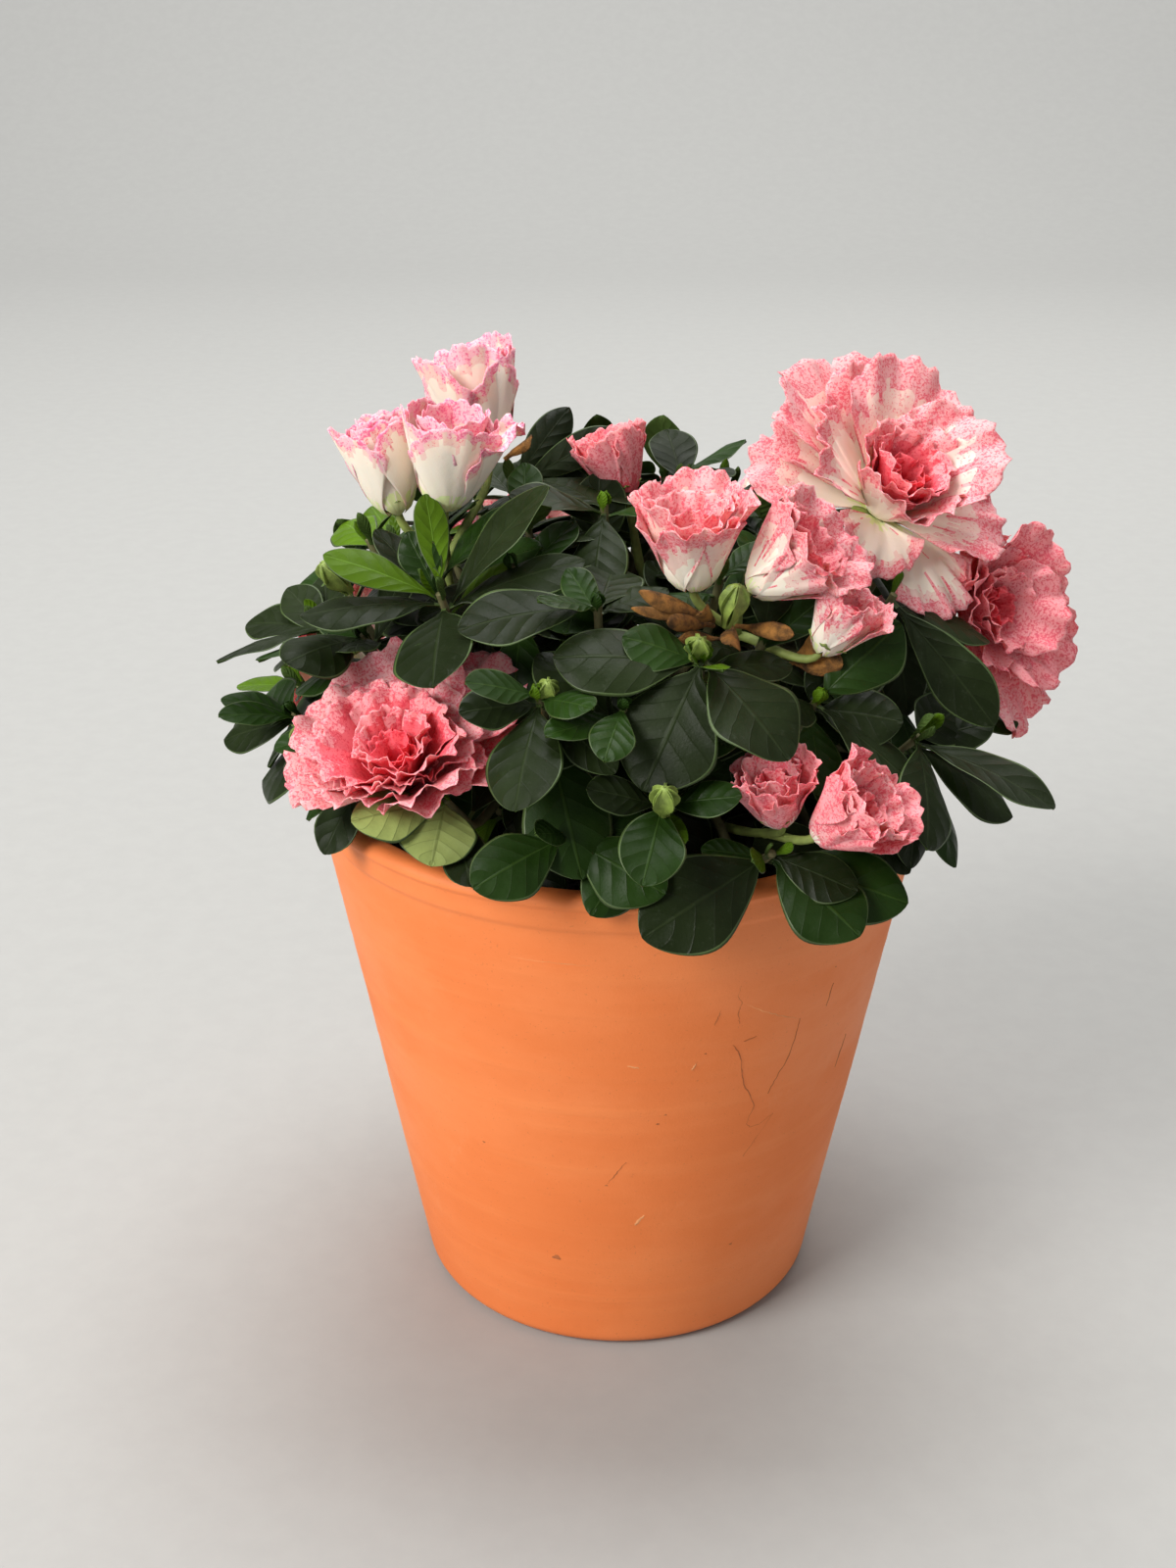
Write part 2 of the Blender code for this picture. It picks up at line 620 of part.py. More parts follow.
def main():
    for old in list(bpy.data.objects):
        bpy.data.objects.remove(old)
    chance = random.Random(SEED)
    standing = [("stem", stem()), ("pot", pot()), ("root_ball", root_ball())]

    flowers = {}
    for name, (fork, blooms) in TRUSSES.items():
        flowers[name] = truss(name, fork, blooms, standing, chance)
        standing += [(name, solid) for solid in flowers[name]]

    shoots = {name: [(millimetres(*row[:3]), row[3], row[4]) for row in rows] for name, rows in MASSES.items()}
    placed = [tip for rows in shoots.values() for tip, _, _ in rows]
    hearts = {name: rows[0][0] for name, rows in shoots.items()}
    bloom_middles = []
    for _, blooms in TRUSSES.values():
        for row in blooms:
            bloom_middles.append(millimetres(*row[1:4]) + bearing_vector(row[4], row[5]) * BLOOM_MIDDLE)
    fillers = {name: [] for name in shoots}
    for spot in spiral_shoots(placed, bloom_middles):
        nearest = min(hearts, key=lambda name: (hearts[name] - spot).length)
        fillers[nearest].append((spot, SPIRAL_LEAVES, SPIRAL_LEAF))

    crown, forks = {}, {}
    for name, rows in shoots.items():
        solid, entry, arrive = bough(rows, standing)
        limb_name = name.replace("foliage", "bough")
        place(limb_name, solid.mesh(limb_name), "bark", 40)
        standing.append((limb_name, solid))
        foot = entry + arrive * GAP
        forks[name] = (foot + arrive * MASS_STEM, arrive)
        crown[name] = [limb([foot, forks[name][0]], BOUGH_TIP_R, TWIG_R * 1.1, LIMB_SIDES)]
        standing.append((name, crown[name][0]))

    grown = []
    for rows_of in (shoots, fillers):
        for name, rows in rows_of.items():
            for row in rows:
                end, arrive = forks[name]
                start = end - arrive * (TWIG_R + FORK_PITCH * (len(crown[name]) - 1))
                twig = shoot(start, arrive, row[0], name, standing)
                if twig:
                    crown[name].append(twig)
                    standing.append((name, twig))
                    grown.append((name, twig, row))
                elif rows_of is shoots:
                    print(f"{name}: the shoot to {tuple(round(v / MM) for v in row[0])} has no free way")

    for name, twig, (tip, leaves, length) in grown:
        blades = whorl(tip, leaves, length, twig, standing, chance)
        crown[name] += blades
        standing += [("leaf", solid) for solid in blades]

    for name, solids in flowers.items():
        fused(name, solids, "petal")
    for name, solids in crown.items():
        fused(name, solids, "leaf")
    leaf_count = sum(owner == "leaf" for owner, _ in standing)
    print(f"{len(bpy.data.objects)} pieces, {len(grown)} shoots, {leaf_count} leaves")


main()
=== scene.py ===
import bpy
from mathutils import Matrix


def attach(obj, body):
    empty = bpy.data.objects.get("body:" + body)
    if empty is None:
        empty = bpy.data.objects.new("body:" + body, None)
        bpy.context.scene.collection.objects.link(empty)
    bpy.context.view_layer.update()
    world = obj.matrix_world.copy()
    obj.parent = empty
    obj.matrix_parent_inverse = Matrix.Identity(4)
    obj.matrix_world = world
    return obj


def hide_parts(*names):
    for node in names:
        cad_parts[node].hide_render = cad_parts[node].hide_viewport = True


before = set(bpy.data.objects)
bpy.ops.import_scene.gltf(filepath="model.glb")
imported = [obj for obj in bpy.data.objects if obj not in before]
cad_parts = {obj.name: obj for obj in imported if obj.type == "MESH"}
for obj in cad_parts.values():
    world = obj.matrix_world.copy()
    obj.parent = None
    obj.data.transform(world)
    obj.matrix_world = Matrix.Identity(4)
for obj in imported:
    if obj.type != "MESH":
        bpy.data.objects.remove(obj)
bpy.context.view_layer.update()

# Potted azalea: fired clay pot, peat, woody stem, leaves in whorls, ruffled blooms.
# Metres, +Z up, the front is -Y. A bearing goes round the pot from the front (0) to +X (90).
# Tables of places and sizes are in millimetres, angles in degrees.

import math
import random

import bpy
import numpy as np
from mathutils import Vector, noise
from mathutils.bvhtree import BVHTree

mm = 0.001
goldenAngle = 137.508
chance = random.Random(11)


def bearingVector(bearing, rise=0.0):
    b, r = math.radians(bearing), math.radians(rise)
    return Vector((math.sin(b) * math.cos(r), -math.cos(b) * math.cos(r), math.sin(r)))


def place(x, y, z):
    return Vector((x, y, z)) * mm


def across(direction):  # two vectors square to it, the second as near to straight up as can be
    side = direction.cross(Vector((0.0, 0.0, 1.0)))
    if side.length < 0.05:
        side = direction.cross(Vector((0.0, 1.0, 0.0)))
    side.normalize()
    return side, side.cross(direction).normalized()


def squareTo(ahead, look):  # the part of look that stands square to ahead
    return (look - ahead * look.dot(ahead)).normalized()


def around(side, up, turn):  # turn in radians from side toward up
    return side * math.cos(turn) + up * math.sin(turn)


def curvePoints(start, leave, end, arrive, count, pull=0.30):
    reach = (end - start).length * pull
    first, second = start + leave * reach, end - arrive * reach
    points = []
    for i in range(count):
        t = i / (count - 1)
        near = start * (1 - t) ** 3 + first * 3 * t * (1 - t) ** 2
        points.append(near + second * 3 * t * t * (1 - t) + end * t ** 3)
    return points


# one mesh per piece, filled bit by bit
class Heap:
    def __init__(self, name):
        self.name = name
        self.points, self.faces, self.marks, self.maps = [], [], [], []
        self.count = 0

    def add(self, points, faces, marks, maps=None):
        points = np.asarray(points, float)
        faces = np.asarray(faces, int)
        self.points.append(points)
        self.faces.append(faces + self.count)
        self.marks.append(np.broadcast_to(np.asarray(marks, int), (len(faces),)))
        self.maps.append(np.zeros((len(points), 2)) if maps is None else maps)
        self.count += len(points)

    def finish(self, finishes, slot, replaced=()):
        points = np.concatenate(self.points)
        faces = [tuple(dict.fromkeys(f)) for part in self.faces for f in part.tolist()]
        mesh = bpy.data.meshes.new(self.name)
        mesh.from_pydata(points.tolist(), [], faces)
        for finish in finishes:
            mesh.materials.append(finish)
        mesh.polygons.foreach_set("material_index", np.concatenate(self.marks).astype(np.int32))
        mesh.polygons.foreach_set("use_smooth", np.full(len(faces), True))
        layer = mesh.uv_layers.new(name="leafMap")
        corners = np.empty(len(mesh.loops), np.int32)
        mesh.loops.foreach_get("vertex_index", corners)
        layer.data.foreach_set("uv", np.concatenate(self.maps)[corners].astype(np.float32).ravel())
        mesh.update()
        piece = bpy.data.objects.new(self.name, mesh)
        bpy.context.scene.collection.objects.link(piece)
        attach(piece, "root")
        if replaced:
            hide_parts(*replaced)
        mesh.calc_loop_triangles()
        print(f"{self.name}: {len(mesh.loop_triangles)} triangles")


def gridFaces(rows, columns, start=0, closed=False):
    # quads between rows of points; closed joins the last column to the first
    r = np.arange(rows - 1)[:, None] * columns
    c = np.arange(columns if closed else columns - 1)[None, :]
    after = (c + 1) % columns
    quads = np.stack([r + c, r + after, r + columns + after, r + columns + c], axis=-1)
    return quads.reshape(-1, 4) + start


def newFinish(name, roughness, **sockets):
    finish = bpy.data.materials.new(name)
    finish.use_nodes = True
    shader = finish.node_tree.nodes["Principled BSDF"]
    shader.inputs["Roughness"].default_value = roughness
    for socket, value in sockets.items():
        shader.inputs[socket].default_value = value
    return finish, finish.node_tree, shader


def node(tree, kind, settings=(), inputs=()):
    made = tree.nodes.new(kind)
    for key, value in dict(settings).items():
        setattr(made, key, value)
    for key, value in dict(inputs).items():
        if isinstance(value, bpy.types.NodeSocket):
            tree.links.new(value, made.inputs[key])
        else:
            made.inputs[key].default_value = value
    return made


def spots(tree, scale, detail=3.0, roughness=0.55, stretch=None, distortion=0.0):
    # noise in the object's own coordinates, scale in features per metre
    where = node(tree, "ShaderNodeTexCoord").outputs["Object"]
    if stretch:
        where = node(tree, "ShaderNodeMapping", inputs={"Vector": where, "Scale": stretch}).outputs[0]
    grain = dict(Vector=where, Scale=scale, Detail=detail, Roughness=roughness, Distortion=distortion)
    return node(tree, "ShaderNodeTexNoise", inputs=grain).outputs[0]


def ramp(tree, value, low, high, lowValue=0.0, highValue=1.0):
    limits = {"Value": value, "From Min": low, "From Max": high, "To Min": lowValue, "To Max": highValue}
    return node(tree, "ShaderNodeMapRange", {"interpolation_type": "SMOOTHSTEP"}, limits).outputs[0]


def blendColour(tree, share, first, second):
    mix = node(tree, "ShaderNodeMix", {"data_type": "RGBA"})
    tree.links.new(share, mix.inputs[0])
    for key, value in ((6, first), (7, second)):
        if isinstance(value, bpy.types.NodeSocket):
            tree.links.new(value, mix.inputs[key])
        else:
            mix.inputs[key].default_value = (*value, 1.0)
    return mix.outputs[2]


def maths(tree, operation, first, second=0.0):
    return node(tree, "ShaderNodeMath", {"operation": operation}, {0: first, 1: second}).outputs[0]


def times(tree, first, second):
    return maths(tree, "MULTIPLY", first, second)


def bump(tree, shader, height, distance, strength):
    made = node(tree, "ShaderNodeBump", inputs={"Height": height, "Distance": distance, "Strength": strength})
    tree.links.new(made.outputs[0], shader.inputs["Normal"])


def clayFinish():
    finish, tree, shader = newFinish("terracotta", 0.66)
    cloud = ramp(tree, spots(tree, 16, 5, 0.6, (1, 1, 1.7)), 0.34, 0.68)
    colour = blendColour(tree, cloud, (0.80, 0.196, 0.043), (0.86, 0.235, 0.062))
    rings = ramp(tree, spots(tree, 6, 4, 0.6, (1, 1, 34)), 0.45, 0.75)
    colour = blendColour(tree, times(tree, rings, 0.22), colour, (0.90, 0.29, 0.085))
    bloomOfLime = ramp(tree, spots(tree, 34, 7, 0.72, (1, 1, 0.7), 1.2), 0.60, 0.80)
    colour = blendColour(tree, times(tree, bloomOfLime, 0.14), colour, (0.93, 0.55, 0.30))
    grit = ramp(tree, spots(tree, 1500, 2, 0.5), 0.66, 0.74)
    colour = blendColour(tree, times(tree, grit, 0.30), colour, (0.42, 0.11, 0.03))
    tree.links.new(colour, shader.inputs["Base Color"])
    tree.links.new(ramp(tree, cloud, 0.0, 1.0, 0.72, 0.56), shader.inputs["Roughness"])
    height = maths(tree, "ADD", times(tree, rings, 0.8), spots(tree, 1100, 4, 0.7))
    bump(tree, shader, height, 0.00012, 0.55)
    return finish


def plainFinish(name, colour, roughness, relief=0.0, scale=900, shade=0.35):
    # a single colour that runs lighter and darker with a grain
    finish, tree, shader = newFinish(name, roughness)
    patch = ramp(tree, spots(tree, scale * 0.12, 5, 0.65), 0.3, 0.7)
    dark = tuple(channel * (1 - shade) for channel in colour)
    light = tuple(min(channel * (1 + shade * 0.6), 1.0) for channel in colour)
    tree.links.new(blendColour(tree, patch, dark, light), shader.inputs["Base Color"])
    if relief:
        bump(tree, shader, spots(tree, scale, 6, 0.7), relief, 0.8)
    return finish


def leafFinish(name, colour, dust, veinColour, roughness):
    # veins follow the leaf's own map: along it from stalk to tip, and across it
    finish, tree, shader = newFinish(name, roughness, **{"Specular IOR Level": 0.10})
    leafMap = node(tree, "ShaderNodeUVMap", {"uv_map": "leafMap"}).outputs[0]
    parts = node(tree, "ShaderNodeSeparateXYZ", inputs={0: leafMap})
    along = parts.outputs[0]
    off = maths(tree, "ABSOLUTE", maths(tree, "SUBTRACT", times(tree, parts.outputs[1], 2.0), 1.0))
    wander = times(tree, spots(tree, 260, 3), 0.22)
    turn = maths(tree, "ADD", maths(tree, "SUBTRACT", times(tree, along, 6.5), times(tree, off, 1.5)), wander)
    wave = maths(tree, "ABSOLUTE", maths(tree, "SINE", times(tree, turn, math.pi)))
    side = ramp(tree, wave, 0.0, 0.16, 1.0, 0.0)
    midrib = ramp(tree, off, 0.012, 0.060, 1.0, 0.0)
    veins = maths(tree, "MAXIMUM", times(tree, side, 0.30), midrib)
    deep = tuple(channel * 0.45 for channel in colour)
    patch = ramp(tree, spots(tree, 55, 5, 0.7), 0.35, 0.7)
    light = tuple(min(channel * 1.45 + 0.002, 1.0) for channel in colour)
    body = blendColour(tree, patch, colour, light)
    film = times(tree, ramp(tree, spots(tree, 420, 8, 0.85), 0.54, 0.74), dust)
    shade = times(tree, ramp(tree, spots(tree, 24, 2), 0.60, 0.40), 0.55)
    body = blendColour(tree, shade, body, deep)
    body = blendColour(tree, film, body, (0.14, 0.16, 0.12))
    # side veins painted darker: painted shade in the sunken vein grooves, on top of the bump that sinks them
    body = blendColour(tree, times(tree, ramp(tree, wave, 0.0, 0.14, 1.0, 0.0), 0.55), body, deep)
    body = blendColour(tree, times(tree, veins, 0.5), body, veinColour)
    tree.links.new(body, shader.inputs["Base Color"])
    gloss = ramp(tree, patch, 0.0, 1.0, roughness - 0.05, roughness + 0.12)
    tree.links.new(gloss, shader.inputs["Roughness"])
    quilt = maths(tree, "SUBTRACT", times(tree, wave, 0.8), times(tree, veins, 0.9))
    grain = times(tree, spots(tree, 1300, 4, 0.7), 0.45)
    bump(tree, shader, maths(tree, "ADD", quilt, grain), 0.00045, 0.38)
    return finish


def petalFinish(name, ground, speckle, density):
    # fine stipple over a plain ground; every petal finish shares the same specks, only more or fewer
    sheen = {"Subsurface Weight": 0.15, "Subsurface Scale": 0.0015, "Specular IOR Level": 0.25}
    finish, tree, shader = newFinish(name, 0.60, **sheen)
    coarse, fine = spots(tree, 210, 4, 0.7, distortion=0.5), spots(tree, 1700, 3, 0.75)
    field = maths(tree, "ADD", times(tree, coarse, 0.30), times(tree, fine, 0.70))
    cut = 0.66 - 0.28 * density
    mask = ramp(tree, field, cut, cut + 0.08)
    soft = ramp(tree, coarse, 0.62 - 0.20 * density, 0.84 - 0.20 * density)
    between = tuple(g * 0.6 + s * 0.4 for g, s in zip(ground, speckle))
    wash = blendColour(tree, times(tree, soft, 0.8 * density), ground, between)
    stippled = blendColour(tree, times(tree, mask, 0.85), wash, speckle)
    tree.links.new(stippled, shader.inputs["Base Color"])
    bump(tree, shader, spots(tree, 700, 5, 0.7), 0.0003, 0.30)
    return finish


# ground, speckle, and how dense the speckles are
petalColours = {
    "lime": ((0.80, 0.84, 0.42), (0.86, 0.66, 0.50), 0.0),
    "white": ((0.92, 0.79, 0.67), (0.84, 0.34, 0.36), 0.12),
    "blush": ((0.88, 0.61, 0.54), (0.80, 0.14, 0.19), 0.45),
    "pink": ((0.87, 0.41, 0.42), (0.76, 0.09, 0.14), 0.66),
    "coral": ((0.82, 0.14, 0.17), (0.68, 0.035, 0.065), 0.60),
    "deep": ((0.66, 0.045, 0.07), (0.48, 0.012, 0.028), 0.60),
    "rim": ((0.93, 0.50, 0.56), (0.81, 0.11, 0.26), 0.62),
    "rose": ((0.90, 0.33, 0.35), (0.74, 0.07, 0.12), 0.62),
}
petalFinishes = [petalFinish("petal_" + name, *row) for name, row in petalColours.items()]
lime, white, blush, pink, coral, deep, rim, rose = range(len(petalColours))

# colour, share of dust, colour of the veins, roughness
leafColours = {
    "dark": ((0.010, 0.017, 0.004), 0.16, (0.024, 0.036, 0.012), 0.42),
    "mid": ((0.013, 0.034, 0.004), 0.08, (0.034, 0.068, 0.012), 0.40),
    "young": ((0.070, 0.140, 0.005), 0.02, (0.120, 0.230, 0.026), 0.40),
    "under": ((0.060, 0.105, 0.022), 0.10, (0.048, 0.082, 0.016), 0.62),
    "pale": ((0.220, 0.270, 0.080), 0.04, (0.080, 0.105, 0.024), 0.55),
}
leafFinishes = [leafFinish("leaf_" + name, *row) for name, row in leafColours.items()]
leafFinishes.append(plainFinish("leaf_margin", (0.050, 0.085, 0.018), 0.50))
tones = {name: n for n, name in enumerate([*leafColours, "margin"])}

clay = clayFinish()
peatFinish = plainFinish("peat", (0.030, 0.019, 0.012), 0.95, 0.0006, 1400, 0.6)
barkFinish = plainFinish("bark", (0.120, 0.078, 0.045), 0.85, 0.0003, 1200, 0.5)
twigFinish = plainFinish("young_bark", (0.110, 0.105, 0.040), 0.75, 0.0001, 1500, 0.4)
stalkFinish = plainFinish("flower_stalk", (0.260, 0.330, 0.080), 0.60, 0.0001, 1500, 0.3)
budFinish = plainFinish("bud_scale", (0.210, 0.290, 0.055), 0.50, 0.0001, 3500, 0.4)
# dry scales run strongly darker and lighter: partly their own colour, partly painted shade of their crumpled
# folds
papery = plainFinish("papery_scale", (0.340, 0.150, 0.030), 0.80, 0.0010, 2600, 0.80)
print("finishes are ready")


potForm = dict(height=138.0, topR=75.0, baseR=50.3, wall=5.6, floor=6.8, baseRounding=3.4, collarHeight=9.0,
               collarStep=0.4, lipR=2.6, sides=200, waver=0.10, rings=0.07)


def potOuterR(z):  # millimetres, like all of potForm
    f = potForm
    return f["baseR"] + (f["topR"] - f["collarStep"] - f["baseR"]) * z / f["height"]


def potProfile():
    # from the middle of the underside, up the outside, over the lip and down the inside to the middle again
    f = potForm
    profile = [(0.0, 0.0)] + [(r, 0.0) for r in np.linspace(8, potOuterR(0) - f["baseRounding"] - 1, 6)]
    for angle in np.linspace(0, math.pi / 2, 8):
        z = f["baseRounding"] * (1 - math.cos(angle))
        profile.append((potOuterR(z) - f["baseRounding"] * (1 - math.sin(angle)), z))
    collar = f["height"] - f["collarHeight"]
    profile += [(potOuterR(z), z) for z in np.linspace(f["baseRounding"] + 1.2, collar - 0.8, 96)]
    lip = f["height"] - f["lipR"]
    for t in np.linspace(0, 1, 6):
        z = collar - 0.4 + 1.6 * t
        profile.append((potOuterR(z) + f["collarStep"] * t * t * (3 - 2 * t), z))
    profile += [(potOuterR(z) + f["collarStep"], z) for z in np.linspace(collar + 1.8, lip - 0.5, 7)]
    for angle in np.linspace(0, math.pi / 2, 9):
        profile.append((f["topR"] - f["lipR"] * (1 - math.cos(angle)), lip + f["lipR"] * math.sin(angle)))
    innerLip = potOuterR(lip) - f["wall"] + f["lipR"]
    for angle in np.linspace(math.pi / 2, 0, 9)[1:]:
        profile.append((innerLip - f["lipR"] * math.cos(angle), lip + f["lipR"] * math.sin(angle)))
    profile += [(potOuterR(z) - f["wall"], z) for z in np.linspace(lip - 2, f["floor"], 24)]
    profile.append((0.0, f["floor"]))
    return profile


def turnedGrid(profile, sides, shift):
    # rings of points from the profile's radii and heights; shift(x, y, z) moves each point
    angles = np.arange(sides) * 2 * math.pi / sides
    return np.array([shift(r * math.cos(a), r * math.sin(a), z) for r, z in profile for a in angles]) * mm


def makePot():
    f = potForm

    def shift(x, y, z):
        r = math.hypot(x, y)
        if r < 1e-6:
            return (0.0, 0.0, z)
        top = min(max((z - 4) / 12, 0), 1)
        wall = min(max((r - 46) / 4, 0), 1)
        out = f["waver"] * noise.noise(Vector((x, y, z)) * 0.022) * 2 * wall
        out += f["rings"] * noise.noise(Vector((x * 0.006, y * 0.006, z * 0.55))) * wall * top
        out += 0.035 * noise.noise(Vector((x, y, z)) * 0.45) * wall * top
        return (x * (1 + out / r), y * (1 + out / r), z)

    profile = potProfile()
    heap = Heap("pot_clay")
    points = turnedGrid(profile, f["sides"], shift)
    heap.add(points, gridFaces(len(profile), f["sides"], closed=True), 0)
    heap.finish([clay], "terracotta", ["pot"])


# fine cracks, scuff marks and a painted highlight on the wall: half width, then bearing and height along
# each; a dot is its bearing, height and size. They stand a little proud in the middle, and their edges dip
# into the wall
markForm = dict(
    crest=0.12, dip=-0.02, wander=0.14, dotSides=14,
    cracks=((0.13, (22.6, 95), (24.4, 92), (25.4, 87), (26.4, 82), (29.9, 75), (28.5, 69.6), (29.6, 68.2),
             (32, 68), (35.6, 70), (32, 64), (29, 59)),
            (0.12, (37.8, 97), (37.5, 91), (36.7, 86), (34.8, 82), (32.9, 77)),
            (0.13, (22.5, 112), (22.3, 109), (23.2, 107), (22.7, 104), (23.4, 101)),
            (0.11, (19.2, 106), (18.2, 102)), (0.10, (24.8, 95.4), (27.6, 96)),
            (0.16, (45.9, 103), (45.3, 97)),
            (0.35, (57.2, 82), (55.8, 73)), (0.14, (1.9, 63), (-0.6, 58.6), (-2.2, 56))),
    dots=((-2.4, 55.4, 0.45), (-15.2, 29.6, 0.9), (8.3, 74.4, 0.3), (9.8, 77, 0.25), (45.4, 108, 0.35),
          (53, 70, 0.4), (17, 94, 0.2), (-31, 62, 0.3), (30, 30, 0.35)),
    # the first four: painted highlight where the collar's lower edge catches the light at 120 mm, over a
    # scuff ring
    scuffsAndHighlight=((0.30, (-52, 119.8), (-47, 120.2), (-43, 120)), (0.24, (-36, 120.3), (-30, 120.4), (-24, 120.2)),
            (0.28, (-20, 120.4), (-12, 120.5), (-5, 120.3)), (0.18, (0, 119.6), (6, 119.9)),
            (0.45, (6.3, 45.6), (4.3, 42.4)), (0.22, (1.8, 92.2), (4, 91.5)),
            (0.22, (14.5, 89.7), (15.2, 91.4)),
            (0.13, (23.2, 107), (27.5, 103.6), (32.4, 100.2), (37.2, 97.4))))


def makeMarks():
    f = markForm
    heap = Heap("pot_marks")

    def onWall(bearing, z, lift):
        return np.array(bearingVector(bearing) * (potOuterR(z) + lift)) + [0, 0, z]

    def ribbon(track, width, mark):
        steps = np.linspace(0, len(track) - 1, 5 * len(track))
        fine = np.stack([np.interp(steps, range(len(track)), column) for column in zip(*track)], axis=1)
        wide = f["wander"]
        fine += np.array([[chance.uniform(-wide, wide), chance.uniform(-wide, wide)] for _ in fine])
        points = []
        for i, (bearing, z) in enumerate(fine):
            swell = 0.35 + 0.65 * math.sin(math.pi * (i + 0.5) / len(fine))
            thin = width * swell * chance.uniform(0.7, 1.2)
            ahead = fine[min(i + 1, len(fine) - 1)] - fine[max(i - 1, 0)]
            ahead = ahead / (np.linalg.norm(ahead) + 1e-9)
            for sign, lift in ((-1, f["dip"]), (0, f["crest"]), (1, f["dip"])):
                points.append(onWall(bearing - sign * ahead[1] * thin, z + sign * ahead[0] * thin, lift))
        heap.add(np.array(points) * mm, gridFaces(len(fine), 3), mark)

    for mark, tracks in ((0, f["cracks"]), (1, f["scuffsAndHighlight"])):
        for width, *track in tracks:
            ribbon(track, width, mark)
    for bearing, z, size in f["dots"]:
        dot = [onWall(bearing, z, 0.14)]
        for k in range(f["dotSides"]):
            a = 2 * math.pi * k / f["dotSides"]
            far = size * (1 + 0.25 * math.sin(3 * a + bearing))
            dot.append(onWall(bearing + far * 1.2 * math.cos(a), z + far * 0.8 * math.sin(a), f["dip"]))
        fan = [(0, 1 + k, 1 + (k + 1) % f["dotSides"], 0) for k in range(f["dotSides"])]
        heap.add(np.array(dot) * mm, fan, 0)
    dark = plainFinish("clay_mark", (0.40, 0.115, 0.032), 0.8)
    # pale finish: scuff marks, and the painted highlight line under the collar
    pale = plainFinish("clay_scuff_and_highlight", (0.90, 0.36, 0.14), 0.8)
    heap.finish([dark, pale], "terracotta")


makePot()
makeMarks()

peatForm = dict(top=122.5, foot=7.3, sunk=2.8, gap=0.5, sides=120, crumbs=480, smallest=0.5, largest=1.9,
                relief=1.3)


def makePeat():
    f = peatForm
    edge = potOuterR(f["top"]) - potForm["wall"] - f["gap"]
    profile = [(r, f["foot"]) for r in (0.0, 20, 40, potOuterR(8) - potForm["wall"] - 1.5)]
    profile += [(potOuterR(z) - potForm["wall"] - f["gap"], z) for z in np.linspace(9, f["top"] - 4, 12)]
    profile += [(edge * t, f["top"] - f["sunk"] * t ** 2) for t in np.linspace(0.995, 0.0, 46)]

    def shift(x, y, z):
        if z < f["top"] - 5:
            return (x, y, z)
        lift = f["relief"] * (noise.fractal(Vector((x, y, 3.0)) * 0.16, 0.9, 2.1, 4) - 0.3)
        return (x, y, z + lift)

    heap = Heap("peat_top")
    points = turnedGrid(profile, f["sides"], shift)
    heap.add(points, gridFaces(len(profile), f["sides"], closed=True), 0)
    ball = [(math.sin(a) * math.cos(b), math.sin(a) * math.sin(b), math.cos(a))
            for a in (0.0, 0.8, 1.57, 2.34, math.pi) for b in np.arange(6) * math.pi / 3]
    faces = gridFaces(5, 6, closed=True)
    for _ in range(f["crumbs"]):
        r = edge * math.sqrt(chance.random()) * 0.98
        b = chance.uniform(0, 2 * math.pi)
        if r < 9:
            continue
        x, y = r * math.cos(b), r * math.sin(b)
        size = chance.uniform(f["smallest"], f["largest"]) * chance.uniform(0.4, 1.0)
        z = f["top"] - f["sunk"] * (r / edge) ** 2 + size * 0.2
        stretch = [chance.uniform(0.7, 1.5), chance.uniform(0.7, 1.3), chance.uniform(0.5, 0.9)]
        shape = np.array(ball) * stretch * size
        turn = chance.uniform(0, math.pi)
        c, s = math.cos(turn), math.sin(turn)
        shape = shape @ np.array([[c, s, 0], [-s, c, 0], [0, 0, 1]]) + [x, y, z]
        heap.add(shape * mm, faces[:, ::-1], 0)
    heap.finish([peatFinish], "peat", ["root_ball"])


makePeat()

# stem and boughs, and the dome that the shoots end on
soilTop = peatForm["top"] * mm
stemForm = dict(footR=11.5, neckR=7.2, topR=4.8, height=34.0, lean=(2.0, 3.0), sides=56, rings=60)
# radius of each limb at its foot and its tip, then how limbs leave the stem: rise and turns in degrees,
# heights as shares of the stem's, the gap they keep from it; boughReach is the share of the way from the
# heart to the middle of a mass, massStem the length of the mass's own stem
limbForm = dict(bough=(2.1 * mm, 1.4 * mm), truss=(1.3 * mm, 1.0 * mm), twig=(1.3 * mm, 0.9 * mm),
                stalk=(1.1 * mm, 0.9 * mm), rise=25, turns=(0, 18, -18, 36, -36, 60, -60, 90, -90), feet=12,
                lowestFoot=0.14, footStep=0.07, boughReach=0.46, gap=0.3, massStem=8.0)
barkForm = (420, 420, 130)  # ridges per metre, close round a limb and long up it
heart = place(0, 0, 146)
domeCentre = place(0, 0, 150)
domeRadii = place(78, 76, 56)
crownRadii = place(104, 97, 73)
crownFloor = 0.1195  # free leaves stay above it


def stemCentre(z):
    share = (z - soilTop) / (stemForm["height"] * mm)
    return Vector((stemForm["lean"][0], stemForm["lean"][1], 0.0)) * mm * share * share


def stemR(z):
    f = stemForm
    share = (z - soilTop) / (f["height"] * mm)
    flare = (f["footR"] - f["neckR"]) * math.exp(-share * 9)
    return (f["neckR"] + (f["topR"] - f["neckR"]) * share + flare) * mm


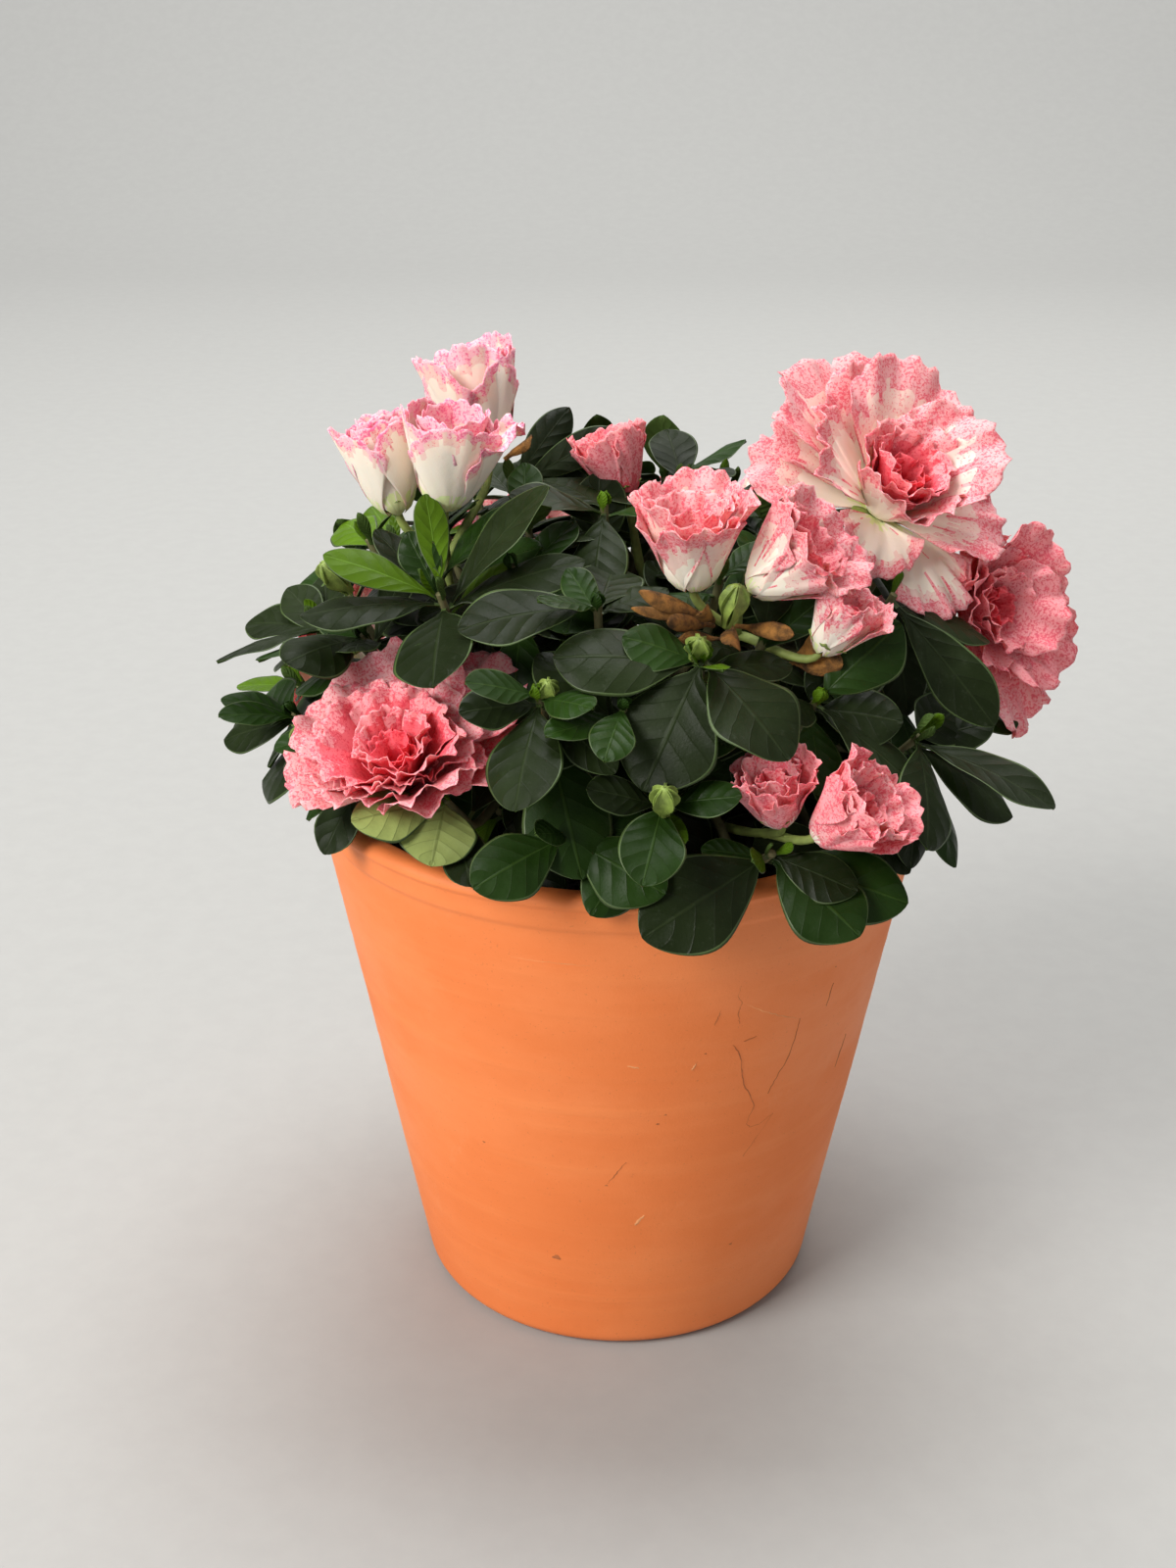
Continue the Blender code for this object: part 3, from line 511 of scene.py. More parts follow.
def tube(heap, points, startR, endR, sides, roughness, swell=None):
    # tapering limb with rounded ends and bark that stands up in ridges
    count = len(points)
    ahead = [(points[min(i + 1, count - 1)] - points[max(i - 1, 0)]).normalized() for i in range(count)]
    side = across(ahead[0])[0]
    grid = []
    for i, point in enumerate(points):
        side = (side - ahead[i] * side.dot(ahead[i])).normalized()
        up = side.cross(ahead[i])
        radius = startR + (endR - startR) * i / (count - 1)
        if swell:
            radius = swell(point.z)
        for k in range(sides):
            a = 2 * math.pi * k / sides
            way = around(side, up, a)
            spot = point + way * radius
            bark = noise.noise(Vector([value * per for value, per in zip(spot, barkForm)]))
            ridge = 1 - abs(bark) * 2
            grid.append(spot + way * radius * roughness * (ridge - 0.5))
    faces = gridFaces(count, sides, closed=True)[:, ::-1]
    heap.add([tuple(p) for p in grid], faces, 0)
    last = (count - 1) * sides
    for edge, tip in ((list(range(sides)), points[0] - ahead[0] * startR * 0.5),
                      (list(range(last, last + sides))[::-1], points[-1] + ahead[-1] * endR * 0.5)):
        cap = [tuple(grid[k]) for k in edge] + [tuple(tip)]
        heap.add(cap, [(k, (k + 1) % sides, sides, sides) for k in range(sides)], 0)


# simple solids that keep leaves, twigs and blooms clear of each other
class Solid:
    def __init__(self, corners, faces):
        self.corners = corners
        array = np.array(corners)
        self.low, self.high = array.min(0), array.max(0)
        self.tree = BVHTree.FromPolygons(corners, faces)


class Standing:
    def __init__(self):
        self.solids, self.owners = [], []
        self.lows, self.highs = np.zeros((4096, 3)), np.zeros((4096, 3))

    def add(self, owner, solid):
        self.lows[len(self.solids)], self.highs[len(self.solids)] = solid.low, solid.high
        self.solids.append(solid)
        self.owners.append(owner)

    def free(self, solid, own=()):
        # own holds names of owners, or solids, that it may touch
        count = len(self.solids)
        near = np.all((self.lows[:count] <= solid.high) & (self.highs[:count] >= solid.low), axis=1)
        for i in np.nonzero(near)[0]:
            if self.owners[i] in own or self.solids[i] in own:
                continue
            if solid.tree.overlap(self.solids[i].tree):
                return False
        return True


def slimTube(points, startR, endR, sides, grow=0.0):
    corners, faces = [], []
    count = len(points)
    for i, point in enumerate(points):
        ahead = (points[min(i + 1, count - 1)] - points[max(i - 1, 0)]).normalized()
        side, up = across(ahead)
        radius = startR + (endR - startR) * i / (count - 1) + grow
        for k in range(sides):
            a = 2 * math.pi * k / sides
            corners.append(point + side * radius * math.cos(a) + up * radius * math.sin(a))
    for ring in range(count - 1):
        for k in range(sides):
            after = (k + 1) % sides
            low, high = ring * sides, (ring + 1) * sides
            faces += [(low + k, high + after, low + after), (low + k, high + k, high + after)]
    return Solid(corners, faces)


def slimLeaf(root, ahead, face, length, width, bend, grow=0.0):
    # ridged blade of three stations and a tip, as plain as a leaf can be
    side = ahead.cross(face).normalized()
    face = side.cross(ahead).normalized()
    turn = math.radians(bend) or 1e-4

    def station(s):
        a = turn * s
        middle = root + ahead * length * math.sin(a) / turn - face * length * (1 - math.cos(a)) / turn
        return middle, face * math.cos(a) + ahead * math.sin(a)

    corners, faces = [], []
    for s, share in ((0.0, 0.05), (0.42, 0.82), (0.80, 0.90)):
        middle, up = station(s)
        half = width * share / 2 + grow
        corners += [middle + side * half - up * grow, middle + up * (0.0006 + grow),
                    middle - side * half - up * grow]
    corners.append(station(1.0 + grow / length)[0])
    for k in range(3):
        after = (k + 1) % 3
        for low in (0, 3):
            faces += [(low + k, low + 3 + after, low + after), (low + k, low + 3 + k, low + 3 + after)]
        faces.append((6 + k, 9, 6 + after))
    faces.append((0, 1, 2))
    return Solid(corners, faces)


standing = Standing()


def limbFromStem(target, arrive, startR, endR):
    # a limb leaves the stem at the first height and bearing where nothing stands in its way
    f = limbForm
    level = Vector((target.x - 0.001, target.y - 0.0015, 0.0))
    bearing = math.degrees(math.atan2(level.x, -level.y))
    wish = 0.2 + 0.7 * min(max((target.z - heart.z) / 0.05, 0.0), 1.0)
    shares = (f["lowestFoot"] + f["footStep"] * n for n in range(f["feet"]))
    heights = sorted(shares, key=lambda share: abs(share - wish))
    for turn in f["turns"]:
        for share in heights:
            z = soilTop + stemForm["height"] * mm * share
            leave = bearingVector(bearing + turn, f["rise"])
            halfFoot = startR * (math.sin(math.radians(f["rise"])) + 0.15)
            offAxis = stemR(z) + f["gap"] * mm + halfFoot
            foot = Vector((0.0, 0.0, z)) + stemCentre(z) + bearingVector(bearing + turn) * offAxis
            points = curvePoints(foot, leave, target, arrive, 5)
            if standing.free(slimTube(points, startR, endR, 5, 0.0004), ("stem",)):
                return curvePoints(foot, leave, target, arrive, 18), slimTube(points, startR, endR, 5)
    return curvePoints(foot, leave, target, arrive, 18), slimTube(points, startR, endR, 5)


def makeStem(heap):
    f = stemForm
    levels = [soilTop + f["height"] * mm * i / f["rings"] for i in range(f["rings"] + 1)]
    centres = [Vector((0.0, 0.0, z - 0.001 * (i == 0))) + stemCentre(z) for i, z in enumerate(levels)]
    tube(heap, centres, f["footR"] * mm, f["topR"] * mm, f["sides"], 0.16, swell=stemR)
    plain = [centres[0], centres[20], centres[40], centres[60]]
    standing.add("stem", slimTube(plain, stemR(levels[0]), f["topR"] * mm, 8))


# blooms: where each truss forks, then kind, foot x, y, z, bearing and rise of its axis, scale
trusses = {
    "blossom_left_top": ((-40, -10, 190), (
        ("cup", -50, -16, 204, -110, 76, 0.90),
        ("flaredCup", -39, -22, 207, 60, 82, 1.00),
        ("rosyCup", -31, 4, 211, -120, 78, 1.08))),
    "blossom_top": ((4, 1, 188), (("coralCup", 1, 0, 203, -110, 70, 0.80),)),
    "blossom_centre": ((25, -38, 184), (
        ("ruffled", 15, -46, 197, -30, 84, 0.96),
        ("trumpet", 27, -47, 197, 76, 42, 0.88),
        ("smallCup", 42, -49, 184, 75, 62, 0.78))),
    "blossom_right_top": ((58, 0, 186), (("rightOpen", 58, -5, 202, 35, 50, 1.00),)),
    "blossom_right_side": ((70, 6, 172), (("rightDouble", 80, 1, 177, 45, 16, 0.96),)),
    "blossom_right_rim": ((32, -58, 146), (
        ("rimRuffled", 34, -66, 152, -40, 70, 0.72),
        ("rimRuffled", 41, -70, 151, 60, 42, 0.86))),
    "blossom_left_low": ((-34, -40, 150), (("leftDouble", -46, -55, 155, -25, 66, 1.00),)),
    "blossom_back_left": ((-28, 58, 157), (("double", -30, 64, 160, -166, 20, 0.86),)),
    "blossom_back_right": ((24, 54, 158), (
        ("ruffled", 17, 63, 166, -172, 40, 1.05),
        ("cup", 33, 60, 166, 150, 44, 0.95))),
    "blossom_back_low": ((-60, 36, 146), (("open", -67, 38, 146, -118, 14, 0.80),)),
    "blossom_back_side": ((56, 36, 152), (("double", 61, 44, 154, 130, 18, 0.82),)),
}
# colours along a petal: how far out each one reaches, as a share of the petal's length
petalZones = {
    "cream": ((0.30, lime), (0.85, white), (0.91, blush), (2, rim)),
    "rosy": ((0.20, lime), (0.56, white), (0.78, blush), (2, rim)),
    "flecked": ((0.26, lime), (0.78, white), (0.86, blush), (2, pink)),
    "pale": ((0.16, lime), (0.56, white), (0.77, blush), (2, pink)),
    "blushed": ((0.20, white), (0.42, pink), (2, rose)),
    "dappled": ((0.30, rose), (2, pink)),
    "rose": ((0.42, coral), (0.74, rose), (2, pink)),
    "ember": ((0.40, coral), (2, rose)),
    "coral": ((0.30, deep), (0.86, coral), (2, rose)),
    "heart": ((0.66, deep), (2, coral)),
}
# rings of petals from the outside in: how many, length, lean from the axis at the foot, at a third of the
# length and at the rim, half the fan's angle, how flat it opens, depth and number of ruffles, colours
bloomKinds = {
    "cup": ((5, 26, (66, 14, 0), 40, 0.05, 0.8, 3.0, "cream"),
            (4, 24, (50, 6, 0), 38, 0.05, 0.8, 3.0, "rosy")),
    "flaredCup": ((5, 25, (70, 20, 4), 40, 0.05, 0.9, 3.0, "cream"),
                  (4, 23, (55, 10, 4), 38, 0.05, 0.9, 3.0, "rosy")),
    "rosyCup": ((5, 26, (62, 16, 6), 38, 0.08, 1.4, 3.6, "cream"),
                (5, 23, (46, 10, 4), 36, 0.08, 1.3, 3.6, "rosy")),
    "smallCup": ((5, 22, (58, 18, 20), 36, 0.10, 1.5, 3.6, "pale"),
                 (5, 18, (40, 8, 14), 36, 0.10, 1.3, 3.6, "rose")),
    "coralCup": ((6, 23, (60, 20, 10), 36, 0.12, 1.6, 4.0, "ember"),
                 (5, 18, (44, 8, 6), 36, 0.10, 1.5, 4.0, "coral"),
                 (4, 13, (20, 4, 4), 36, 0.10, 1.2, 3.6, "heart")),
    "ruffled": ((5, 25, (76, 16, 30), 38, 0.18, 1.9, 4.0, "pale"),
                (5, 21, (56, 10, 22), 36, 0.14, 1.7, 4.2, "dappled"),
                (4, 16, (22, 4, 16), 36, 0.12, 1.5, 4.0, "coral")),
    "rimRuffled": ((5, 25, (72, 16, 26), 38, 0.18, 2.0, 4.0, "blushed"),
                   (5, 22, (54, 10, 20), 36, 0.14, 1.8, 4.2, "rose"),
                   (4, 17, (22, 4, 16), 36, 0.12, 1.6, 4.0, "coral")),
    "trumpet": ((5, 27, (64, 14, 56), 40, 0.25, 1.9, 4.0, "pale"),
                (5, 22, (42, 10, 34), 38, 0.20, 1.8, 4.2, "ember"),
                (4, 16, (22, 4, 14), 36, 0.12, 1.4, 4.0, "coral")),
    "rightOpen": ((4, 22, (54, 26, 42), 42, 0.25, 1.8, 3.6, "pale"),
                  (5, 19, (42, 14, 28), 42, 0.20, 1.6, 4.0, "coral"),
                  (5, 14, (26, 6, 12), 40, 0.12, 1.4, 4.0, "heart")),
    "rightDouble": ((6, 21, (56, 36, 62), 42, 0.30, 1.8, 4.0, "ember"),
                    (6, 17, (40, 20, 42), 42, 0.25, 1.7, 4.0, "ember"),
                    (6, 12, (24, 8, 22), 40, 0.20, 1.4, 4.0, "heart")),
    "leftDouble": ((6, 23, (62, 44, 62), 42, 0.30, 2.0, 4.0, "rose"),
                   (6, 21, (52, 34, 52), 42, 0.25, 1.9, 4.2, "coral"),
                   (6, 16, (38, 20, 36), 42, 0.20, 1.6, 4.0, "coral"),
                   (5, 11, (20, 8, 18), 42, 0.20, 1.3, 3.6, "heart")),
    "open": ((6, 32, (60, 60, 96), 40, 0.45, 2.4, 3.8, "pale"),
             (5, 22, (50, 26, 50), 42, 0.30, 1.8, 4.0, "rose"),
             (5, 14, (28, 6, 16), 42, 0.15, 1.4, 4.0, "heart")),
    "double": ((7, 30, (60, 62, 98), 40, 0.50, 2.4, 3.8, "dappled"),
               (7, 24, (50, 46, 74), 42, 0.40, 2.0, 4.0, "rose"),
               (6, 17, (40, 22, 46), 42, 0.25, 1.6, 4.0, "coral"),
               (5, 12, (24, 8, 20), 42, 0.15, 1.3, 3.6, "heart")),
}
# petals that point their own way: bearing and rise, length, half the fan's angle, how far the rim curls out,
# colours
ownPetals = {
    "flaredCup": ((88, 48, 26, 30, 30, "cream"),),
    "rightOpen": ((-116, 58, 37, 42, 6, "pale"), (140, 66, 35, 42, 10, "pale"),
                  (-165, 62, 32, 40, 0, "pale"), (-94, 18, 29, 36, 10, "pale"),
                  (-108, 38, 29, 36, 14, "pale"), (-52, 46, 31, 32, 6, "flecked"),
                  (86, 38, 32, 40, 20, "pale"), (-12, -20, 20, 44, 26, "flecked"),
                  (42, -42, 29, 30, 24, "flecked"), (84, -12, 30, 38, 24, "pale")),
    "rightDouble": ((10, 66, 22, 42, 10, "ember"), (100, 30, 26, 40, 16, "ember"),
                    (80, 2, 25, 42, 20, "ember"), (80, -28, 30, 34, 16, "ember"),
                    (60, -54, 34, 28, 10, "dappled"), (8, -42, 24, 40, 14, "ember"),
                    (-40, 30, 20, 40, 6, "ember")),
    "leftDouble": ((-106, 34, 26, 46, 6, "dappled"), (-171, 44, 30, 46, 0, "dappled"),
                   (94, 20, 33, 46, 6, "dappled"), (132, 42, 33, 42, 0, "dappled"),
                   (-77, 4, 26, 32, 16, "dappled"), (-18, 16, 21, 44, 12, "dappled"),
                   (44, 18, 23, 44, 12, "dappled"), (-134, 34, 24, 40, 4, "dappled")),
}
petalForm = dict(rows=13, columns=35, thickness=0.22, footR=1.5, drop=0.26, lobes=9.0, fringe=0.055)


def leanAlong(leans, t):
    # the lean runs smoothly from foot to a third of the length, and on from there to the rim
    foot, middle, outer = leans
    early, late = np.clip(t / 0.35, 0, 1), np.clip((t - 0.35) / 0.65, 0, 1)
    return np.radians(foot + (middle - foot) * early * (2 - early) + (outer - middle) * late ** 1.5)


def wideOpen(kind):  # blooms with many petals of their own
    return len(ownPetals.get(kind, ())) > 3


def bloomSolid(kind, foot, axis, scale):
    # plain cup that a leaf or twig stays clear of
    length, leans = (28, (60, 60, 88)) if wideOpen(kind) else bloomKinds[kind][0][1:3]
    side, up = across(axis)
    corners = [foot - axis * 0.001]
    r, h, sides = 1.3, 0.0, 10
    for step in range(5):
        for k in range(sides):
            a = 2 * math.pi * k / sides
            corners.append(foot + (around(side, up, a) * r + axis * h) * mm * scale)
        lean = float(leanAlong(leans, (step + 0.5) / 4))
        r, h = r + length * 0.23 * math.sin(lean), h + length * 0.23 * math.cos(lean)
    corners.append(foot + axis * 0.023 * scale)
    faces = [(0, 1 + (k + 1) % sides, 1 + k) for k in range(sides)]
    faces += gridFaces(5, sides, 1, closed=True).tolist()
    faces += [(1 + 4 * sides + k, 1 + 4 * sides + (k + 1) % sides, len(corners) - 1) for k in range(sides)]
    return Solid(corners, faces)


def petalSolid(foot, way, length, scale):
    # plain arrowhead round a petal that points its own way
    side, up = across(way)
    tip = foot + way * length * 0.85 * scale * mm
    wide = foot + way * length * 0.6 * scale * mm
    half, thick = side * length * 0.3 * scale * mm, up * 0.0015
    corners = [foot, wide - half, wide + thick, wide + half, wide - thick, tip]
    faces = [(0, 1 + k, 1 + (k + 1) % 4) for k in range(4)] + [(5, 1 + (k + 1) % 4, 1 + k) for k in range(4)]
    return Solid(corners, faces)


def petalMarks(zones, u, v, seed):
    # the finish of each face from how far out it lies; noise makes the edge of each colour ragged, and petals
    # with a pink rim have a few long streaks of rose
    rows, columns = len(u) - 1, len(v) - 1
    marks = []
    for i in range(rows):
        for j in range(columns):
            far, off = (u[i] + u[i + 1]) / 2, (v[j] + v[j + 1]) / 2
            far += 0.06 * abs(off) ** 3 + 0.11 * noise.noise(Vector((off * 7, far * 2.2, seed)))
            far += 0.08 * noise.noise(Vector((off * 22, far * 9, seed + 5)))
            mark = next(finish for reach, finish in zones if far <= reach)
            streak = zones[-1][1] == pink and far > 0.35
            streak = streak and noise.noise(Vector((off * 24, far * 2.6, seed + 9))) > 0.46
            marks.append(rose if streak and mark in (white, blush, pink) else mark)
    return np.array(marks)


def addPetal(heap, foot, axis, out, ring, scale):
    f = petalForm
    length, leans, fan, flat, ruffle, waves, zones = ring[1:]
    length *= chance.uniform(0.93, 1.05)
    leans = [lean + chance.uniform(-wide, wide) for lean, wide in zip(leans, (3, 5, 12))]
    rows, columns = f["rows"], f["columns"]
    u = 1 - (1 - np.linspace(0, 1, rows)) ** 1.35
    v = np.linspace(-1, 1, columns)
    phase = [chance.uniform(0, 2 * math.pi) for _ in range(8)]
    fringe = np.abs(np.sin(v * f["lobes"] * 1.4 + phase[0])) ** 0.6 - 0.6 + 0.5 * np.sin(v * 4 + phase[1])
    fringe = fringe + np.array([chance.uniform(-0.22, 0.22) for _ in v])
    reach = length * (1 - f["drop"] * np.abs(v) ** 2.8) * (1 + f["fringe"] * fringe)
    angle = math.radians(fan) * v
    rho = np.outer(u, reach)
    x, y = rho * np.sin(angle), rho * np.cos(angle)
    t = y / length
    steps = np.linspace(0, 1.1, 56)
    lean = leanAlong(leans, steps)
    gap = steps[1] * length
    radius = f["footR"] + np.concatenate([[0], np.cumsum(np.sin(lean[:-1]) * gap)])
    height = np.concatenate([[0], np.cumsum(np.cos(lean[:-1]) * gap)])
    r, h, tilt = np.interp(t, steps, radius), np.interp(t, steps, height), np.interp(t, steps, lean)
    curl = (1.5 + r) * (1 + flat * 3 * t)
    wrap = x / curl
    lateral, inward = curl * np.sin(wrap), curl * (1 - np.cos(wrap))
    near, far = u[:, None], v[None, :]
    # a broad wave, ruffles and smaller ruffles that grow toward the rim, and fine ribs
    lift = ruffle * 0.55 * near ** 1.6 * np.sin(math.pi * 1.2 * far + phase[2] + 1.5 * near)
    lift += ruffle * 0.60 * near ** 4.5 * np.sin(math.pi * waves * far + phase[3] + 2.5 * near)
    lift += ruffle * 0.26 * near ** 7 * np.sin(math.pi * waves * 2.4 * far + phase[4] + 4 * near)
    lift += 0.16 * near * (1 - 0.6 * near) * np.sin(15 * far + phase[5] + 1.2 * np.sin(5 * near + phase[6]))
    outward = lift - inward
    r = r + outward * np.cos(tilt)
    h = h - outward * np.sin(tilt)
    outVector, side = np.array(out), np.array(axis.cross(out))
    sheet = r[..., None] * outVector + lateral[..., None] * side + h[..., None] * np.array(axis)
    sheet = sheet * scale * mm + np.array(foot)
    normals = np.cross(np.gradient(sheet, axis=0), np.gradient(sheet, axis=1))
    normals /= np.linalg.norm(normals, axis=2, keepdims=True) + 1e-12
    half = normals * f["thickness"] * mm / 2 * (1 - 0.5 * u[:, None, None])
    faces = gridFaces(rows, columns)
    marks = petalMarks(petalZones[zones], u, v, chance.uniform(0, 50))
    count = rows * columns
    border = [(i, 0) for i in range(rows)] + [(rows - 1, j) for j in range(1, columns)]
    border += [(i, columns - 1) for i in range(rows - 2, -1, -1)]
    border = [i * columns + j for i, j in border]
    edge = [(a, b, b + count, a + count) for a, b in zip(border, border[1:])]
    edgeMark = marks[(rows - 2) * (columns - 1) + (columns - 1) // 2]
    points = np.concatenate([(sheet + half).reshape(-1, 3), (sheet - half).reshape(-1, 3)])
    allFaces = np.concatenate([faces, faces[:, ::-1] + count, np.array(edge)])
    heap.add(points, allFaces, np.concatenate([marks, marks, np.full(len(edge), edgeMark)]))


def addBloom(heap, kind, foot, axis, scale):
    side, up = across(axis)
    start = chance.uniform(0, 360)
    for bearing, rise, length, fan, curl, zones in ownPetals.get(kind, ()):
        way = bearingVector(bearing, rise)
        lean = math.degrees(axis.angle(way))
        out = (way - axis * axis.dot(way)).normalized()
        ring = (1, length, (lean - 22, lean - 6, lean + curl), fan, 0.42, 2.4, 3.6, zones)
        addPetal(heap, foot, axis, out, ring, scale)
    for n, ring in enumerate(bloomKinds[kind]):
        for k in range(ring[0]):
            a = math.radians(start + 31 * n + 360 * (k + chance.uniform(-0.1, 0.1)) / ring[0])
            out = around(side, up, a)
            addPetal(heap, foot + axis * 0.0008 * n * scale, axis, out, ring, scale)


# strips are the upper side's lines from edge to edge as shares of half its width, under the lower side's
leafForm = dict(strips=(-1, -0.93, -0.62, -0.3, -0.05, 0.05, 0.3, 0.62, 0.93, 1),
                under=(-0.93, -0.62, 0, 0.62, 0.93), thick=(0.14, 0.28, 0.75, 0.28, 0.14),
                petiole=0.10, crease=0.35, quilt=0.035)


def addLeaf(heap, root, ahead, face, length, width, tone, bend, twist=0.0, cup=None, plain=False, rows=15):
    # length and width in millimetres, bend and twist in degrees; a plain one has a single finish all over
    f = leafForm
    side = ahead.cross(face).normalized()
    face = side.cross(ahead).normalized()
    cup = chance.uniform(-0.05, 0.30) if cup is None else cup
    s = 1 - (1 - np.linspace(0, 1, rows)) ** 1.5
    t = np.clip((s - f["petiole"]) / (1 - f["petiole"]), 0, 1)
    half = width / 2 * np.maximum(np.sin(math.pi * t ** (1.65 - 0.55 * width / length)), 0) ** 0.62
    half = np.maximum(half, np.where(s < 0.5, 0.55, 0.10))
    ripple = [chance.uniform(0, 2 * math.pi) for _ in range(4)]

    def surface(strips, drop):
        v = np.array(strips, float)[None, :]
        a = math.radians(bend) * s[:, None] + 1e-5
        turn = math.radians(twist) * s[:, None]
        along = length * np.sin(a) / (math.radians(bend) + 1e-5)
        down = length * (1 - np.cos(a)) / (math.radians(bend) + 1e-5)
        w = half[:, None] * (1 + 0.035 * np.sin(s[:, None] * 11 + ripple[0] + np.sign(v)))
        lift = -cup * w * v ** 2 - f["crease"] * np.exp(-(v / 0.13) ** 2) * np.minimum(w / 3, 1)
        lift += 0.060 * w * np.abs(v) ** 3 * np.sin(s[:, None] * 12 + ripple[1] + 1.7 * np.sign(v))
        ribs = np.sin(math.pi * 2 * (6.5 * s[:, None] - 1.5 * np.abs(v)))
        lift += f["quilt"] * ribs * np.abs(v) * (1 - v ** 4)
        lift -= drop
        off = w * v
        off, lift = off * np.cos(turn) - lift * np.sin(turn), off * np.sin(turn) + lift * np.cos(turn)
        y = along + lift * np.sin(a)
        z = -down + lift * np.cos(a)
        points = off[..., None] * np.array(side) + y[..., None] * np.array(ahead)
        return (points + z[..., None] * np.array(face)) * mm + np.array(root)

    columns = len(f["strips"])
    below = len(f["under"])
    top, under = surface(f["strips"], 0.0), surface(f["under"], np.array(f["thick"])[None, :])
    faces = gridFaces(rows, columns)[:, ::-1]
    marks = np.full((rows - 1, columns - 1), tone)
    if not plain:
        marks[:, 0] = marks[:, -1] = marks[0] = tones["margin"]
    start = rows * columns
    linesBelow = [np.arange(rows) * columns] + [start + np.arange(rows) * below + k for k in range(below)]
    linesBelow.append(np.arange(rows) * columns + columns - 1)
    facesBelow = []
    for left, right in zip(linesBelow, linesBelow[1:]):
        facesBelow += list(zip(left[:-1], right[:-1], right[1:], left[1:]))
    maps = np.stack([np.repeat(s, columns), np.tile((np.array(f["strips"]) + 1) / 2, rows)], axis=1)
    mapsBelow = np.stack([np.repeat(s, below), np.tile((np.array(f["under"]) + 1) / 2, rows)], axis=1)
    markBelow = tone if plain or tone == tones["pale"] else tones["under"]
    allMarks = np.concatenate([marks.ravel(), np.full(len(facesBelow), markBelow)])
    heap.add(np.concatenate([top.reshape(-1, 3), under.reshape(-1, 3)]),
             np.concatenate([faces, np.array(facesBelow)]), allMarks, np.concatenate([maps, mapsBelow]))


# masses of foliage: the shoots' tips, at or near those of the part's solids; a letter names a whorl whose
# leaves are placed below
masses = {
    "foliage_left_top": (("A", -39, -41, 194), ("", -58, -8, 196)),
    "foliage_left_side": (("B", -68, -20, 179), ("C", -74, -30, 162), ("D", -57, -34, 182)),
    "foliage_left_rim": (("L", -37, -66, 157),),
    "foliage_top": (("U", -26, 8, 205), ("T", -4, -17, 207)),
    "foliage_centre": (("Q", -5, -50, 195), ("S", -17, -64, 180)),
    "foliage_front": (("P", 17, -62, 188),),
    "foliage_front_low": (("N", 9, -72, 160), ("M", -11, -72, 152)),
    "foliage_right_rim": (("V", 32, -70, 147),),
    "foliage_right_top": (("W", 60, -28, 190),),
    "foliage_right_side": (("R", 65, -44, 163), ("", 80, -16, 160), ("", 54, -54, 146), ("Y", 42, -50, 174)),
    "foliage_back_left": (("", -48, 40, 190), ("", -68, 22, 172)),
    "foliage_back_top": (("", -6, 44, 201), ("X", 14, 4, 206)),
    "foliage_back_right": (("", 48, 36, 190), ("", 70, 24, 170)),
    "foliage_back_low_left": (("", -44, 62, 160),),
    "foliage_back_low": (("", 4, 76, 160),),
    "foliage_back_low_right": (("", 52, 56, 160),),
}
